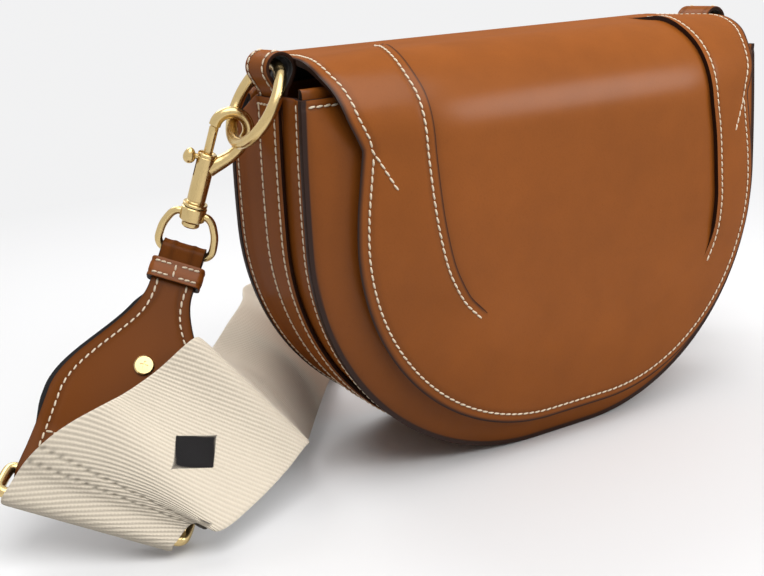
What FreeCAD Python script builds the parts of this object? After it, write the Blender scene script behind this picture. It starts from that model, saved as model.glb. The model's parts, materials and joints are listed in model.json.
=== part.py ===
import FreeCAD, Part
import os
from math import cos, radians, sin, sqrt
from FreeCAD import Matrix, Placement, Vector

# Saddle handbag with a front flap and a clip-on shoulder strap, in millimetres.
# X runs to the wearer's right as seen from the front, Y to the back and Z up.
# The origin is the middle of the flat stretch that the bag stands on.

# Clearances
running_gap = 0.3
overrun = 20.0

# Body shell
bag_width = 220.0
bag_depth = 63.0
panel_height = 149.0
foot_width = 28.0
side_taper = 1.6
panel_thickness = 2.6
front_crown = 7.0
crown_rim = 30.0
seam_width = 5.0
crown_shares = ((0.0, 0.0), (0.3, 0.62), (0.65, 0.92), (1.0, 1.0))
crown_top_share = 0.5
gusset_setback = 2.0
gusset_thickness = 1.8
strap_width = 19.0
strap_offset = -3.0
board_thickness = 1.0
board_margin = 8.0

# Inside of the body
lining_thickness = 0.8
facing_thickness = 1.0
facing_height = 20.0
facing_drop = 1.5
facing_inset = 16.0
pocket_thickness = 1.2
pocket_width = 120.0
pocket_height = 70.0
pocket_drop = 5.5

# Flap
flap_thickness = 2.4
flap_lining_thickness = 0.8
flap_lining_margin = 2.0
flap_inset = 13.2
flap_front = 14.5
flap_rise = 13.0
flap_front_radius = 30.0
flap_back_radius = 12.0
wing_gap = 0.516
notch_depth = 5.1
notch_drop = 29.5
wing_drop = 10.0
root_thickness = 2.0
root_height = 32.0
dart_height = 1.2
dart_width = 8.0
dart_shares = ((0.82, 1.0), (0.775, 0.94), (0.71, 0.83), (0.69, 0.69), (0.677, 0.6), (0.65, 0.525), (0.6, 0.45),
               (0.52, 0.388))

# Magnetic snap
snap_radius = 8.0
snap_socket_height = 2.0
snap_stud_height = 1.7
snap_lip_share = 0.7
snap_level = 45.0
washer_radius = 9.0
washer_thickness = 0.7

# Side rings and their leather tabs
ring_outer_diameter = 35.0
ring_wire = 4.4
tab_width = 18.0
tab_leather = 1.6
tab_eye_rise = 9.6
tab_leg_length = 18.0
ring_swing = 31.0
contact_angle = 46.0

# Snap hooks
bow_radius = 6.2
bow_wire = 4.4
bow_sweep = 240.0
bow_level = 13.0
bow_seat_gap = 0.7
barrel_radius = 3.5
barrel_top = 2.0
barrel_length = 19.5
bolt_radius = 1.7
bolt_length = 18.0
bolt_travel = 6.0
bolt_clearance = 0.08
thumb_level = 0.2
thumb_stem_radius = 0.9
thumb_reach = 6.6
thumb_radius = 2.5
slot_half_width = 1.2
spring_wall = 0.5
spring_slack = 0.2
flange_radius = 4.6
flange_height = 1.2
post_radius = 1.9
collar_radius = 4.8
collar_height = 5.6
collar_gap = 0.25
rivet_radius = 3.4
rivet_height = 2.4
eye_wire = 3.0
eye_half_width = 10.4
eye_depth = 16.5
eye_shares = ((0.33, 0.0), (0.74, 0.08), (0.96, 0.4), (1.0, 1.0))

# Strap ends
strap_tab_length = 93.0
strap_tab_thickness = 3.2
neck_width = 16.0
neck_length = 15.0
flare_length = 48.0
fold_leather = 1.8
keeper_height = 8.0
keeper_level = 9.0
keeper_wall = 1.8
keeper_room = 0.5
stud_radius = 3.7
stud_height = 1.2
stud_post_radius = 1.6
stud_level = 46.0
strap_ring_wire = 4.0
strap_ring_gap = 12.0
strap_ring_room = 0.8

# Webbing
webbing_width = 60.0
webbing_thickness = 2.6
open_end_gap = 2.5
# Lower edge as shares of the bag's width, then the lean and the heading of the width in degrees
webbing_shares = ((-0.748, -0.168, 0.055, 27.0, 146.0), (-0.715, -0.192, 0.042, 45.0, 134.0),
                  (-0.64, -0.162, 0.054, 45.0, 143.0), (-0.565, -0.122, 0.072, 46.0, 153.0),
                  (-0.507, -0.088, 0.092, 52.0, 162.0), (-0.44, 0.02, 0.086, 52.0, 163.0),
                  (-0.327, 0.205, 0.064, 48.0, 158.0), (-0.227, 0.341, 0.018, 38.0, 135.0),
                  (-0.09, 0.39, 0.0105, 32.0, 108.0), (0.068, 0.36, 0.0105, 30.0, 93.0),
                  (0.2, 0.305, 0.0105, 30.0, 88.0))

# Directions of the strap, unit vectors found from these at rest
left_hook_fall = Vector(-0.25, 0.25, -0.935)
left_tab_fall = Vector(-0.544, -0.333, -0.771)
left_ring_fall = Vector(-0.6, -0.745, -0.29)
right_hook_fall = Vector(0.12, 0.493, -0.86)
right_tab_fall = Vector(-0.494, 0.459, -0.74)
right_ring_fall = Vector(-0.864, 0.288, -0.411)

# Values that follow
half_width = bag_width / 2
half_depth = bag_depth / 2
flat_half = foot_width / 2
corner_radius = half_width - flat_half
side_rise = panel_height - corner_radius
side_radius = (side_rise ** 2 + side_taper ** 2) / (2 * side_taper)
inner_face = half_depth - panel_thickness
strap_low = strap_offset - strap_width / 2
strap_high = strap_offset + strap_width / 2
flap_top = panel_height + flap_rise
notch_height = flap_top - notch_drop
wing_height = flap_top - wing_drop
tab_eye_level = panel_height + tab_eye_rise
flap_front_y = -half_depth - flap_front
flap_back_y = half_depth + root_thickness
hinge_level = flap_top - flap_back_radius
hinge_point = Vector(0, flap_back_y + running_gap, hinge_level)
ring_radius = (ring_outer_diameter - ring_wire) / 2
ring_sag = (ring_radius - sqrt(ring_radius ** 2 - (tab_width / 2) ** 2)) / 2
ring_chord_share = sqrt(ring_radius ** 2 - (tab_width / 2) ** 2) / ring_radius
tab_bore = ring_wire / 2 / ring_chord_share + ring_sag + 2 * running_gap
side_lean_x = half_width - side_taper - gusset_setback - gusset_thickness / 2
facing_half_width = half_width - facing_inset
flap_top_half_width = side_lean_x - tab_bore - tab_leather - wing_gap
notch_half_width = flap_top_half_width - notch_depth
x_axis = Vector(1, 0, 0)
y_axis = Vector(0, 1, 0)
z_axis = Vector(0, 0, 1)


def unit(vector):
    return Vector(vector).normalize()


def arc(start, middle, end):
    return Part.Arc(start, middle, end).toShape()


def line(start, end):
    return Part.LineSegment(start, end).toShape()


def rod(radius, start, end):
    return Part.makeCylinder(radius, (end - start).Length, start, end - start)


def ball(radius, centre):
    return Part.makeSphere(radius, centre)


def block(low, high):
    size = high - low
    return Part.makeBox(size.x, size.y, size.z, low)


def joined(shapes):
    first, *others = shapes
    return first.fuse(others).removeSplitter()


def bent_rod(radius, points):
    """Round bar through the points, with a ball at each turn."""
    pieces = [rod(radius, a, b) for a, b in zip(points, points[1:])]
    pieces += [ball(radius, p) for p in points[1:-1]]
    return joined(pieces)


def mirrored(shape):
    return shape.mirror(Vector(0, 0, 0), x_axis)


def frame(origin, up, side):
    """Local axes with Z along up and Y as near to side as it can be."""
    up = unit(up)
    side = unit(side - up * side.dot(up))
    across = side.cross(up)
    return Placement(Matrix(across.x, side.x, up.x, origin.x, across.y, side.y, up.y, origin.y,
                            across.z, side.z, up.z, origin.z, 0, 0, 0, 1))


def placed(shape, place):
    moved = shape.copy()
    moved.Placement = place
    return moved


# Outline of the bag seen from the front
def side_x(inset, level):
    return half_width - side_radius + sqrt((side_radius - inset) ** 2 - (level - corner_radius) ** 2)


def body_outline(inset, top, y):
    """Closed wire at depth y: flat foot, round corners, nearly straight sides and a level top."""
    radius = corner_radius - inset
    middle = radius / sqrt(2)
    middle_level = (corner_radius + top) / 2
    corner = half_width - inset

    def at(x, z):
        return Vector(x, y, z)

    def half(sign):
        foot = at(sign * flat_half, inset)
        bend = at(sign * (flat_half + middle), corner_radius - middle)
        hip = at(sign * corner, corner_radius)
        waist = at(sign * side_x(inset, middle_level), middle_level)
        shoulder = at(sign * side_x(inset, top), top)
        return [arc(foot, bend, hip), arc(hip, waist, shoulder)], foot, shoulder

    right, right_foot, right_shoulder = half(1)
    left, left_foot, left_shoulder = half(-1)
    edges = [line(left_foot, right_foot)] + right + [line(right_shoulder, left_shoulder)] + left[::-1]
    return Part.Wire(Part.__sortEdges__(edges))


def body_plate(inset, top, y_from, y_to):
    face = Part.Face(body_outline(inset, top, y_from))
    return face.extrude(Vector(0, y_to - y_from, 0))


def body_band(inset, thickness, top, y_from, y_to):
    """Strip that follows the outline, open at the top."""
    outer = body_plate(inset, top, y_from, y_to)
    return outer.cut(body_plate(inset + thickness, top + overrun, y_from - overrun, y_to + overrun))


def crown(inset, setback):
    """Domed solid on the front face, from the rim inwards."""
    wires = []
    for rim_share, rise_share in crown_shares:
        rim = inset + rim_share * crown_rim
        top = panel_height - inset - crown_top_share * rim_share * crown_rim
        wires.append(body_outline(rim, top, -half_depth + setback - rise_share * front_crown))
    return Part.makeLoft(wires, True, True)


def front_panel():
    sheet = body_plate(0, panel_height, -half_depth, -inner_face)
    return sheet.fuse(crown(0, 0)).cut(crown(seam_width, panel_thickness)).removeSplitter()


def front_padding():
    foam = crown(seam_width + running_gap, panel_thickness + running_gap)
    behind = block(Vector(-bag_width, -inner_face, -overrun), Vector(bag_width, half_depth, panel_height + overrun))
    recess = snap_disc(panel_face, panel_face + panel_thickness + washer_thickness, washer_radius)
    return foam.cut([behind, recess])


def board(y_from, y_to):
    return body_plate(board_margin, panel_height - board_margin, y_from, y_to)


lining_inset = gusset_setback + gusset_thickness + running_gap
lining_back = inner_face - board_thickness - running_gap
lining_face = lining_back - lining_thickness
lining_top = panel_height - facing_drop


def lining_wall(sign):
    """Lining of one panel; sign is -1 at the front and 1 at the back."""
    return body_plate(lining_inset, lining_top, sign * lining_back, sign * lining_face)


def lining_band():
    """Lining of the gusset, sewn between the two walls."""
    band = body_band(lining_inset, lining_thickness, lining_top, -lining_face, lining_face)
    return band.cut([left_tab, mirrored(left_tab)])


def facing(sign):
    """Leather strip inside the mouth; sign is -1 at the front and 1 at the back."""
    near = sign * lining_face
    far = sign * (lining_face - facing_thickness)
    return block(Vector(-facing_half_width, min(near, far), lining_top - facing_height),
                 Vector(facing_half_width, max(near, far), lining_top))


def slip_pocket():
    half = pocket_width / 2
    pocket_top = lining_top - facing_height - pocket_drop
    return block(Vector(-half, lining_face - pocket_thickness, pocket_top - pocket_height),
                 Vector(half, lining_face, pocket_top))


gusset = body_band(gusset_setback, gusset_thickness, panel_height, -inner_face, inner_face)


def ring_tab():
    """Leather loop at the left that straddles the top of the gusset and holds the side ring."""
    start = Vector(-side_lean_x, strap_offset - tab_width / 2, tab_eye_level)
    end = start + y_axis * tab_width
    leg_half = gusset_thickness / 2 + tab_leather
    foot = Vector(start.x - leg_half, start.y, panel_height - tab_leg_length)
    legs = block(foot, Vector(start.x + leg_half, end.y, tab_eye_level))
    bore = rod(tab_bore, start - y_axis * overrun, end + y_axis * overrun)
    return rod(tab_bore + tab_leather, start, end).fuse(legs).cut(bore).cut(gusset).removeSplitter()


left_tab = ring_tab()


def gusset_strap():
    band = body_band(0, gusset_setback, panel_height - facing_drop, strap_low, strap_high)
    return band.cut([left_tab, mirrored(left_tab)])


# Flap: one bent section along X, trimmed to the flap's outline seen from the front
def flap_section(outside, inside):
    """Bent sheet between two depths below the flap's outer face."""
    def path(depth):
        back = flap_back_radius - depth
        front = flap_front_radius - depth
        back_y = flap_back_y - flap_back_radius
        front_y = flap_front_y + flap_front_radius
        front_z = flap_top - flap_front_radius

        def at(y, z):
            return Vector(-bag_width, y, z)

        heel = at(back_y + back, hinge_level + running_gap)
        lift = at(back_y + back, hinge_level + 2 * running_gap)
        rear = at(back_y, flap_top - depth)
        brow = at(front_y, flap_top - depth)
        cheek = at(front_y - front, front_z)
        foot = at(front_y - front, -overrun)
        turn = 1 / sqrt(2)
        rear_z = hinge_level + 2 * running_gap
        bend = at(back_y + back * turn, rear_z + (flap_top - depth - rear_z) * turn)
        edges = [line(heel, lift), arc(lift, bend, rear), line(rear, brow),
                 arc(brow, at(front_y - front * turn, front_z + front * turn), cheek), line(cheek, foot)]
        return edges, heel, foot

    outer, outer_heel, outer_foot = path(outside)
    inner, inner_heel, inner_foot = path(inside)
    edges = outer + inner + [line(outer_heel, inner_heel), line(outer_foot, inner_foot)]
    face = Part.Face(Part.Wire(Part.__sortEdges__(edges)))
    return face.extrude(Vector(2 * bag_width, 0, 0))


def flap_trim(margin):
    """Prism along Y of the flap's outline: round foot, notch at each side and straight wings."""
    inset = flap_inset + margin
    radius = corner_radius - inset
    middle = radius / sqrt(2)
    top = flap_top + overrun

    def half(sign):
        points = [(half_width - inset, corner_radius), (notch_half_width - margin, notch_height),
                  (flap_top_half_width - margin, wing_height), (flap_top_half_width - margin, top)]
        stops = [Vector(sign * x, -bag_width, z) for x, z in points]
        foot = Vector(sign * flat_half, -bag_width, inset)
        bend = Vector(sign * (flat_half + middle), -bag_width, corner_radius - middle)
        edges = [arc(foot, bend, stops[0])]
        edges += [line(a, b) for a, b in zip(stops, stops[1:])]
        return edges, foot, stops[-1]

    right, right_foot, right_top = half(1)
    left, left_foot, left_top = half(-1)
    edges = right + left + [line(left_foot, right_foot), line(left_top, right_top)]
    face = Part.Face(Part.Wire(Part.__sortEdges__(edges)))
    return face.extrude(Vector(0, 2 * bag_width, 0))


def dart_trim():
    """Prism along Y of the strip where the left wing laps over the middle of the flap."""
    reach = half_width - flap_inset
    inner = [Vector(-across * reach, -bag_width, up * flap_top) for across, up in dart_shares]
    inner[0].z = flap_top + overrun
    outer = [point - x_axis * dart_width for point in inner]
    edges = []
    for points in (inner, outer):
        curve = Part.BSplineCurve()
        curve.interpolate(points)
        edges.append(curve.toShape())
    edges += [line(inner[0], outer[0]), line(inner[-1], outer[-1])]
    face = Part.Face(Part.Wire(Part.__sortEdges__(edges)))
    return face.extrude(Vector(0, 2 * bag_width, 0))


def flap():
    sheet = flap_section(0, flap_thickness).common(flap_trim(0))
    ahead = block(Vector(-bag_width, -bag_width, 0), Vector(bag_width, flap_back_y - flap_back_radius, bag_width))
    welt = flap_section(-dart_height, 0).common(dart_trim()).common(ahead)
    return sheet.fuse([welt, mirrored(welt)]).removeSplitter()


def flap_lining():
    skin = flap_section(flap_thickness, flap_thickness + flap_lining_thickness)
    return skin.common(flap_trim(flap_lining_margin))


def flap_root():
    low = Vector(-flap_top_half_width, half_depth, hinge_level - running_gap - root_height)
    return block(low, Vector(flap_top_half_width, flap_back_y, hinge_level - running_gap))


# Snap: discs on the front panel and under the flap, with a washer behind the leather
panel_face = -half_depth - front_crown
flap_face = flap_front_y + flap_thickness + flap_lining_thickness


def snap_disc(y_from, y_to, radius):
    return rod(radius, Vector(0, y_from, snap_level), Vector(0, y_to, snap_level))


def snap_socket():
    lip = snap_disc(panel_face, panel_face - snap_socket_height, snap_radius)
    return lip.cut(snap_disc(panel_face - snap_socket_height / 2, panel_face - overrun, snap_radius * snap_lip_share))


def snap_stud():
    return snap_disc(flap_face, flap_face + snap_stud_height, snap_radius)


def snap_washer():
    back = panel_face + panel_thickness
    return snap_disc(back, back + washer_thickness, washer_radius)


# Side ring, seen in its own frame: Z points back up through the leather loop
def side_ring():
    return Part.makeTorus(ring_radius, ring_wire / 2, Vector(0, 0, ring_sag - ring_radius), x_axis)


def hook():
    """Snap hook with Z along the barrel, the bow on the X side and the thumb slot opposite."""
    centre = Vector(bow_radius, 0, bow_level)
    tip = Part.Face(Part.Wire(Part.makeCircle(bow_wire / 2, Vector(0, 0, bow_level), z_axis)))
    bow = tip.revolve(centre, y_axis, bow_sweep)
    turn = radians(180 - bow_sweep)
    heel = centre + Vector(cos(turn), 0, sin(turn)) * bow_radius
    fall = Vector(sin(turn), 0, -cos(turn))
    arm = rod(bow_wire / 2, heel, heel + fall * ((heel.x - barrel_radius / 2) / -fall.x))
    floor = barrel_top - barrel_length
    barrel = rod(barrel_radius, Vector(0, 0, floor), Vector(0, 0, barrel_top))
    flange = rod(flange_radius, Vector(0, 0, floor - flange_height), Vector(0, 0, floor))
    collar_low = floor - flange_height - collar_height - 2 * collar_gap
    post = rod(post_radius, Vector(0, 0, collar_low), Vector(0, 0, floor))
    rivet = rod(rivet_radius, Vector(0, 0, collar_low - rivet_height), Vector(0, 0, collar_low))
    bore = rod(bolt_radius + bolt_clearance, Vector(0, 0, spring_floor), Vector(0, 0, bolt_top))
    slot = block(Vector(-barrel_radius * 2, -slot_half_width, thumb_level - bolt_travel - slot_half_width),
                 Vector(0, slot_half_width, barrel_top))
    solid = joined([barrel, bow, arm, flange, post, rivet])
    return solid.cut([bore, slot]).removeSplitter()


bolt_top = bow_level - running_gap
bolt_bottom = bolt_top - bolt_length
spring_floor = bolt_bottom - bolt_travel - bolt_radius
collar_top = barrel_top - barrel_length - flange_height - collar_gap
eye_bar_level = collar_top - collar_height / 2 - eye_depth


def thumb_bolt():
    pin = rod(bolt_radius, Vector(0, 0, bolt_bottom), Vector(0, 0, bolt_top))
    stem = rod(thumb_stem_radius, Vector(0, 0, thumb_level), Vector(-thumb_reach, 0, thumb_level))
    return joined([pin, stem, ball(thumb_radius, Vector(-thumb_reach, 0, thumb_level))])


def bolt_spring():
    low = Vector(0, 0, spring_floor)
    high = Vector(0, 0, bolt_bottom - spring_slack)
    outer = bolt_radius - spring_slack
    return rod(outer, low, high).cut(rod(outer - spring_wall, low, high))


def swivel_eye():
    """Collar that turns on the hook's post, with the bow that the leather folds round, bar along X."""
    collar = rod(collar_radius, Vector(0, 0, collar_top - collar_height), Vector(0, 0, collar_top))
    start = collar_top - collar_height / 2
    side = [Vector(x * eye_half_width, 0, start - drop * eye_depth) for x, drop in eye_shares]
    other = [Vector(-p.x, 0, p.z) for p in side]
    loop = bent_rod(eye_wire / 2, other + side[::-1])
    bore = rod(post_radius + bolt_clearance, Vector(0, 0, collar_top - collar_height - overrun),
               Vector(0, 0, collar_top + overrun))
    head = rod(rivet_radius + running_gap, Vector(0, 0, collar_top - collar_height - rivet_height - 2 * collar_gap),
               Vector(0, 0, collar_top - collar_height))
    return collar.fuse(loop).cut([bore, head]).removeSplitter()


def fold(bar_radius, width):
    """Leather folded round a bar along X at the origin, and the room for that bar."""
    start = Vector(-width / 2, 0, 0)
    end = Vector(width / 2, 0, 0)
    room = bar_radius + running_gap
    return rod(room + fold_leather, start, end), rod(room, start - x_axis * overrun, end + x_axis * overrun)


def strap_tab():
    """Leather end of the strap from the eye's bar at the origin down to the strap ring's bar."""
    thick = strap_tab_thickness / 2
    neck = neck_width / 2
    wide = webbing_width / 2
    flare = neck_length + flare_length

    def flank(sign):
        curve = Part.BSplineCurve()
        curve.interpolate([Vector(sign * neck, -thick, -neck_length), Vector(sign * wide, -thick, -flare)],
                          InitialTangent=Vector(0, 0, -flare_length), FinalTangent=Vector(0, 0, -flare_length))
        return [line(Vector(sign * neck, -thick, 0), Vector(sign * neck, -thick, -neck_length)), curve.toShape(),
                line(Vector(sign * wide, -thick, -flare), Vector(sign * wide, -thick, -strap_tab_length))]

    edges = flank(1) + flank(-1)
    edges += [line(Vector(-neck, -thick, 0), Vector(neck, -thick, 0)),
              line(Vector(-wide, -thick, -strap_tab_length), Vector(wide, -thick, -strap_tab_length))]
    sheet = Part.Face(Part.Wire(Part.__sortEdges__(edges))).extrude(y_axis * strap_tab_thickness)
    top_fold, top_room = fold(eye_wire / 2, neck_width)
    low_fold, low_room = fold(strap_ring_wire / 2, webbing_width)
    drop = Vector(0, 0, -strap_tab_length)
    low_fold.translate(drop)
    low_room.translate(drop)
    stud_hole = rod(stud_post_radius, Vector(0, -overrun, -stud_level), Vector(0, overrun, -stud_level))
    return joined([sheet, top_fold, low_fold]).cut([top_room, low_room, stud_hole])


def tab_stud():
    """Screw stud through the leather: a head on each face and a post between them."""
    thick = strap_tab_thickness / 2
    face = Vector(0, thick, -stud_level)
    back = Vector(0, -thick, -stud_level)
    head = y_axis * stud_height
    slot = block(Vector(-stud_radius, -thick - stud_height, -stud_level - stud_height / 4),
                 Vector(stud_radius, -thick - stud_height / 2, -stud_level + stud_height / 4))
    return joined([rod(stud_radius, face, face + head), rod(stud_radius, back - head, back),
                   rod(stud_post_radius, back, face)]).cut(slot)


def keeper():
    across = neck_width / 2 + keeper_room
    deep = strap_tab_thickness / 2 + keeper_room
    low = -keeper_level - keeper_height / 2
    high = -keeper_level + keeper_height / 2
    outer = block(Vector(-across - keeper_wall, -deep - keeper_wall, low),
                  Vector(across + keeper_wall, deep + keeper_wall, high))
    return outer.cut(block(Vector(-across, -deep, low - overrun), Vector(across, deep, high + overrun)))


def strap_ring():
    """Flat loop with its upper bar at the origin along X and its lower bar one gap below."""
    wire = strap_ring_wire / 2
    side = webbing_width / 2 + strap_ring_room + wire
    low = Vector(0, 0, -strap_ring_gap)
    corners = [Vector(-side, 0, 0), Vector(side, 0, 0), low + x_axis * side, low - x_axis * side]
    bars = [rod(wire, a, b) for a, b in zip(corners, corners[1:] + corners[:1])]
    return joined(bars + [ball(wire, p) for p in corners])


class StrapEnd:
    """Places of the ring, hook, eye, leather tab and strap ring on one side of the bag."""

    def __init__(self, sign, hook_fall, tab_fall, ring_fall):
        swing = radians(ring_swing)
        touch = radians(contact_angle)
        self.tab_eye = Vector(sign * side_lean_x, strap_offset, tab_eye_level)
        self.ring_fall = Vector(sign * sin(swing), 0, -cos(swing))
        self.ring = frame(self.tab_eye, self.ring_fall * -1, y_axis * -sign)
        depth = ring_radius - ring_sag + ring_radius * cos(touch)
        self.contact = self.tab_eye + self.ring_fall * depth + y_axis * (ring_radius * sin(touch))
        self.tangent = y_axis * cos(touch) - self.ring_fall * sin(touch)
        self.hook_fall = unit(hook_fall)
        up = self.hook_fall * -1
        lean = frame(Vector(0, 0, 0), up, self.tangent * -sign)
        side = lean.multVec(y_axis)
        crossing = abs(side.dot(self.tangent))
        level = bow_level + bow_radius - (bow_wire / 2 + ring_wire / 2 + bow_seat_gap) / crossing
        origin = self.contact - lean.multVec(Vector(bow_radius, 0, level))
        self.hook = frame(origin, up, self.tangent * -sign)
        self.eye_bar = self.hook.multVec(Vector(0, 0, eye_bar_level))
        self.tab_fall = unit(tab_fall)
        self.bar = unit(self.hook_fall.cross(self.tab_fall))
        self.eye = frame(origin, up, up.cross(self.bar))
        self.tab = frame(self.eye_bar, self.tab_fall * -1, (self.tab_fall * -1).cross(self.bar))
        self.ring_bar = self.tab.multVec(Vector(0, 0, -strap_tab_length))
        hang = unit(ring_fall - self.bar * ring_fall.dot(self.bar))
        self.strap_ring = frame(self.ring_bar, hang * -1, (hang * -1).cross(self.bar))
        self.webbing_bar = self.strap_ring.multVec(Vector(0, 0, -strap_ring_gap))
        self.hang = hang


left_end = StrapEnd(-1, left_hook_fall, left_tab_fall, left_ring_fall)
right_end = StrapEnd(1, right_hook_fall, right_tab_fall, right_ring_fall)


def raised(bar):
    """The bar's direction, taken the way that points up."""
    return bar if bar.z > 0 else bar * -1


def webbing_edges():
    """Lower edge point and width direction at each station, from the left strap ring to the right one."""
    left_bar = raised(left_end.bar)
    right_bar = raised(right_end.bar)
    stations = [(left_end.webbing_bar - left_bar * (webbing_width / 2), left_bar)]
    for x_share, y_share, z_share, lean, heading in webbing_shares:
        low = Vector(x_share, y_share, z_share) * bag_width
        flat = cos(radians(lean))
        width = Vector(flat * cos(radians(heading)), flat * sin(radians(heading)), sin(radians(lean)))
        stations.append((low, width))
    stop = right_end.webbing_bar - x_axis * (strap_ring_wire / 2 + open_end_gap)
    stations.append((stop - right_bar * (webbing_width / 2), right_bar))
    return stations


def webbing():
    """Band lofted through its cross-sections, with the fold round the left strap ring."""
    stations = webbing_edges()
    middles = [low + width * (webbing_width / 2) for low, width in stations]
    wires = []
    for index, (low, width) in enumerate(stations):
        ahead = middles[min(index + 1, len(middles) - 1)] - middles[max(index - 1, 0)]
        normal = unit(ahead.cross(width)) * (webbing_thickness / 2)
        high = low + width * webbing_width
        wires.append(Part.makePolygon([low - normal, high - normal, high + normal, low + normal, low - normal]))
    band = Part.makeLoft(wires, True, True)
    low, width = stations[0]
    high = low + width * webbing_width
    room = strap_ring_wire / 2 + running_gap
    wrap = rod(room + fold_leather, low, high)
    return band.fuse(wrap).cut(rod(room, low - width * overrun, high + width * overrun)).removeSplitter()


def strap_end_solids(side, end):
    return {
        "side_ring_" + side: placed(side_ring(), end.ring),
        "hook_" + side: placed(hook(), end.hook),
        "thumb_bolt_" + side: placed(thumb_bolt(), end.hook),
        "bolt_spring_" + side: placed(bolt_spring(), end.hook),
        "swivel_eye_" + side: placed(swivel_eye(), end.eye),
        "strap_tab_" + side: placed(strap_tab(), end.tab),
        "tab_stud_" + side: placed(tab_stud(), end.tab),
        "keeper_" + side: placed(keeper(), end.tab),
        "strap_ring_" + side: placed(strap_ring(), end.strap_ring),
    }


def solids():
    nodes = {
        "front_panel": front_panel(),
        "front_padding": front_padding(),
        "front_board": board(-inner_face, board_thickness - inner_face),
        "back_panel": body_plate(0, panel_height, inner_face, half_depth),
        "back_board": board(inner_face - board_thickness, inner_face),
        "gusset": gusset,
        "gusset_strap": gusset_strap(),
        "ring_tab_left": left_tab,
        "ring_tab_right": mirrored(left_tab),
        "lining_front": lining_wall(-1),
        "lining_back": lining_wall(1),
        "lining_band": lining_band(),
        "front_facing": facing(-1),
        "back_facing": facing(1),
        "slip_pocket": slip_pocket(),
        "flap": flap(),
        "flap_lining": flap_lining(),
        "flap_root": flap_root(),
        "snap_socket": snap_socket(),
        "snap_washer": snap_washer(),
        "snap_stud": snap_stud(),
        "webbing": webbing(),
    }
    nodes.update(strap_end_solids("left", left_end))
    nodes.update(strap_end_solids("right", right_end))
    return nodes


os.makedirs("parts", exist_ok=True)
for name, shape in solids().items():
    shape.exportStep(os.path.join("parts", name + ".step"))
    print(f"{name}: {len(shape.Solids)} solid, {shape.Volume:.1f} mm3, valid {shape.isValid()}")
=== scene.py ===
"""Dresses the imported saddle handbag: leather, stitching, brass and webbing around the fixed frame."""

import json
from math import atan2, cos, pi, radians, sin, tau

import bpy
import numpy as np
from bpy.props import FloatProperty, FloatVectorProperty, PointerProperty
from mathutils import Matrix, Vector


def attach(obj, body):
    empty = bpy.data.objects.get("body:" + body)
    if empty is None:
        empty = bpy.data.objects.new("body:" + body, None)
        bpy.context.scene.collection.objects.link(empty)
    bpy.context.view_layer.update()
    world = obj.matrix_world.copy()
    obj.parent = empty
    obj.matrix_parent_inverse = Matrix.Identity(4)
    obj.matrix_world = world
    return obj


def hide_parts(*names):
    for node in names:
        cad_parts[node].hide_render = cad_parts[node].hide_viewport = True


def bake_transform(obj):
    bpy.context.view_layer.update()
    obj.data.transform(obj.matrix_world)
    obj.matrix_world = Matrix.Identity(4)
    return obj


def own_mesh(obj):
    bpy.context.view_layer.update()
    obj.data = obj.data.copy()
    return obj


bl_info = {
    "name": "Saddle handbag",
    "version": (1, 0, 0),
    "blender": (4, 5, 0),
    "location": "View3D > Sidebar > Handbag",
    "description": "Leather saddle handbag with a stitched flap, brass snap hooks and a webbing strap",
    "category": "Object",
}

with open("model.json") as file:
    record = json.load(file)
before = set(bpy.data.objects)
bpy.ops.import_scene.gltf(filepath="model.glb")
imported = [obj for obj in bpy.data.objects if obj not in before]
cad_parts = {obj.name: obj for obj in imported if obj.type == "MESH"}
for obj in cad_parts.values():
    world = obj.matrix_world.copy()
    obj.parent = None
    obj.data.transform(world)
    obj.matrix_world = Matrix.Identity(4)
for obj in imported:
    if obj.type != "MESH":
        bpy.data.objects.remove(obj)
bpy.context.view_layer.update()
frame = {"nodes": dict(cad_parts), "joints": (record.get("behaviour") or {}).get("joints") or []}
JOINTS = {joint["name"]: joint for joint in frame["joints"]}

# Lengths are in millimetres up to the mesh, and MM turns them to metres
MM = 0.001
WELD = 0.002

# Body
HALF_WIDTH = 110.0
HALF_DEPTH = 31.5
INNER_FACE = 28.9
BODY_HEIGHT = 149.0
CORNER_RADIUS = 96.0
FLAT_HALF = HALF_WIDTH - CORNER_RADIUS
SIDE_TAPER = 1.6
FRONT_CROWN = 7.0
BACK_CROWN = 1.6
CROWN_RIM = 30.0
EDGE_BAND = 1.9
GUSSET_SETBACK = 2.0
MOUTH_DROP = 9.0
DROP_DEPTHS = (6.5, 28.0)
DROP_SIDES = (98.0, 109.0)
DROP_FOOT = 105.0
GUSSET_SEAM = 26.4
STRAP_LOW = -12.5
STRAP_HIGH = 6.5
LINING_INSET = 4.3
LINING_DEPTH = 27.0
ROOT_HALF = 98.6
ROOT_TOP = 150.2
ROOT_FOOT = 117.8
ROOT_SEAM = 4.6
POCKET_HALF = 60.0
POCKET_TOP = 122.0
POCKET_FOOT = 52.0
POCKET_DEPTH = 24.9
POCKET_HEM = 3.5
FACING_DEPTH = 25.4
INNER_SEAM = 3.0
SNAP_LEVEL = 45.0

# Side, half width and rise of each mouth facing, and the section that folds over the edge
FACINGS = {"front_facing": (-1.0, 106.5, 3.0), "back_facing": (1.0, 102.0, 0.4)}
FACING_FOLD = ((28.6, -3.4), (28.5, -1.2), (28.0, 0.1), (27.0, 0.4), (26.0, 0.1))
FACING_DROPS = (0.8, 4.0, 21.5)

# Depth, turn, body and node of each half of the snap
SNAP_HALVES = {
    "snap_cup": (-38.5, pi / 2, "bag", "snap_socket"),
    "snap_button": (-45.6, -pi / 2, "flap", "snap_stud")}

# Thickness of each leather and cloth
THICKNESS = {
    "panel": 2.6, "gusset": 1.8, "centre_strap": 1.7, "root": 1.9, "lining": 0.5, "facing": 1.0,
    "pocket": 0.9, "flap_lining": 0.8, "ring_tab": 1.5, "strap_tab": 1.55, "keeper": 1.6, "webbing": 1.9}

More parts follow.
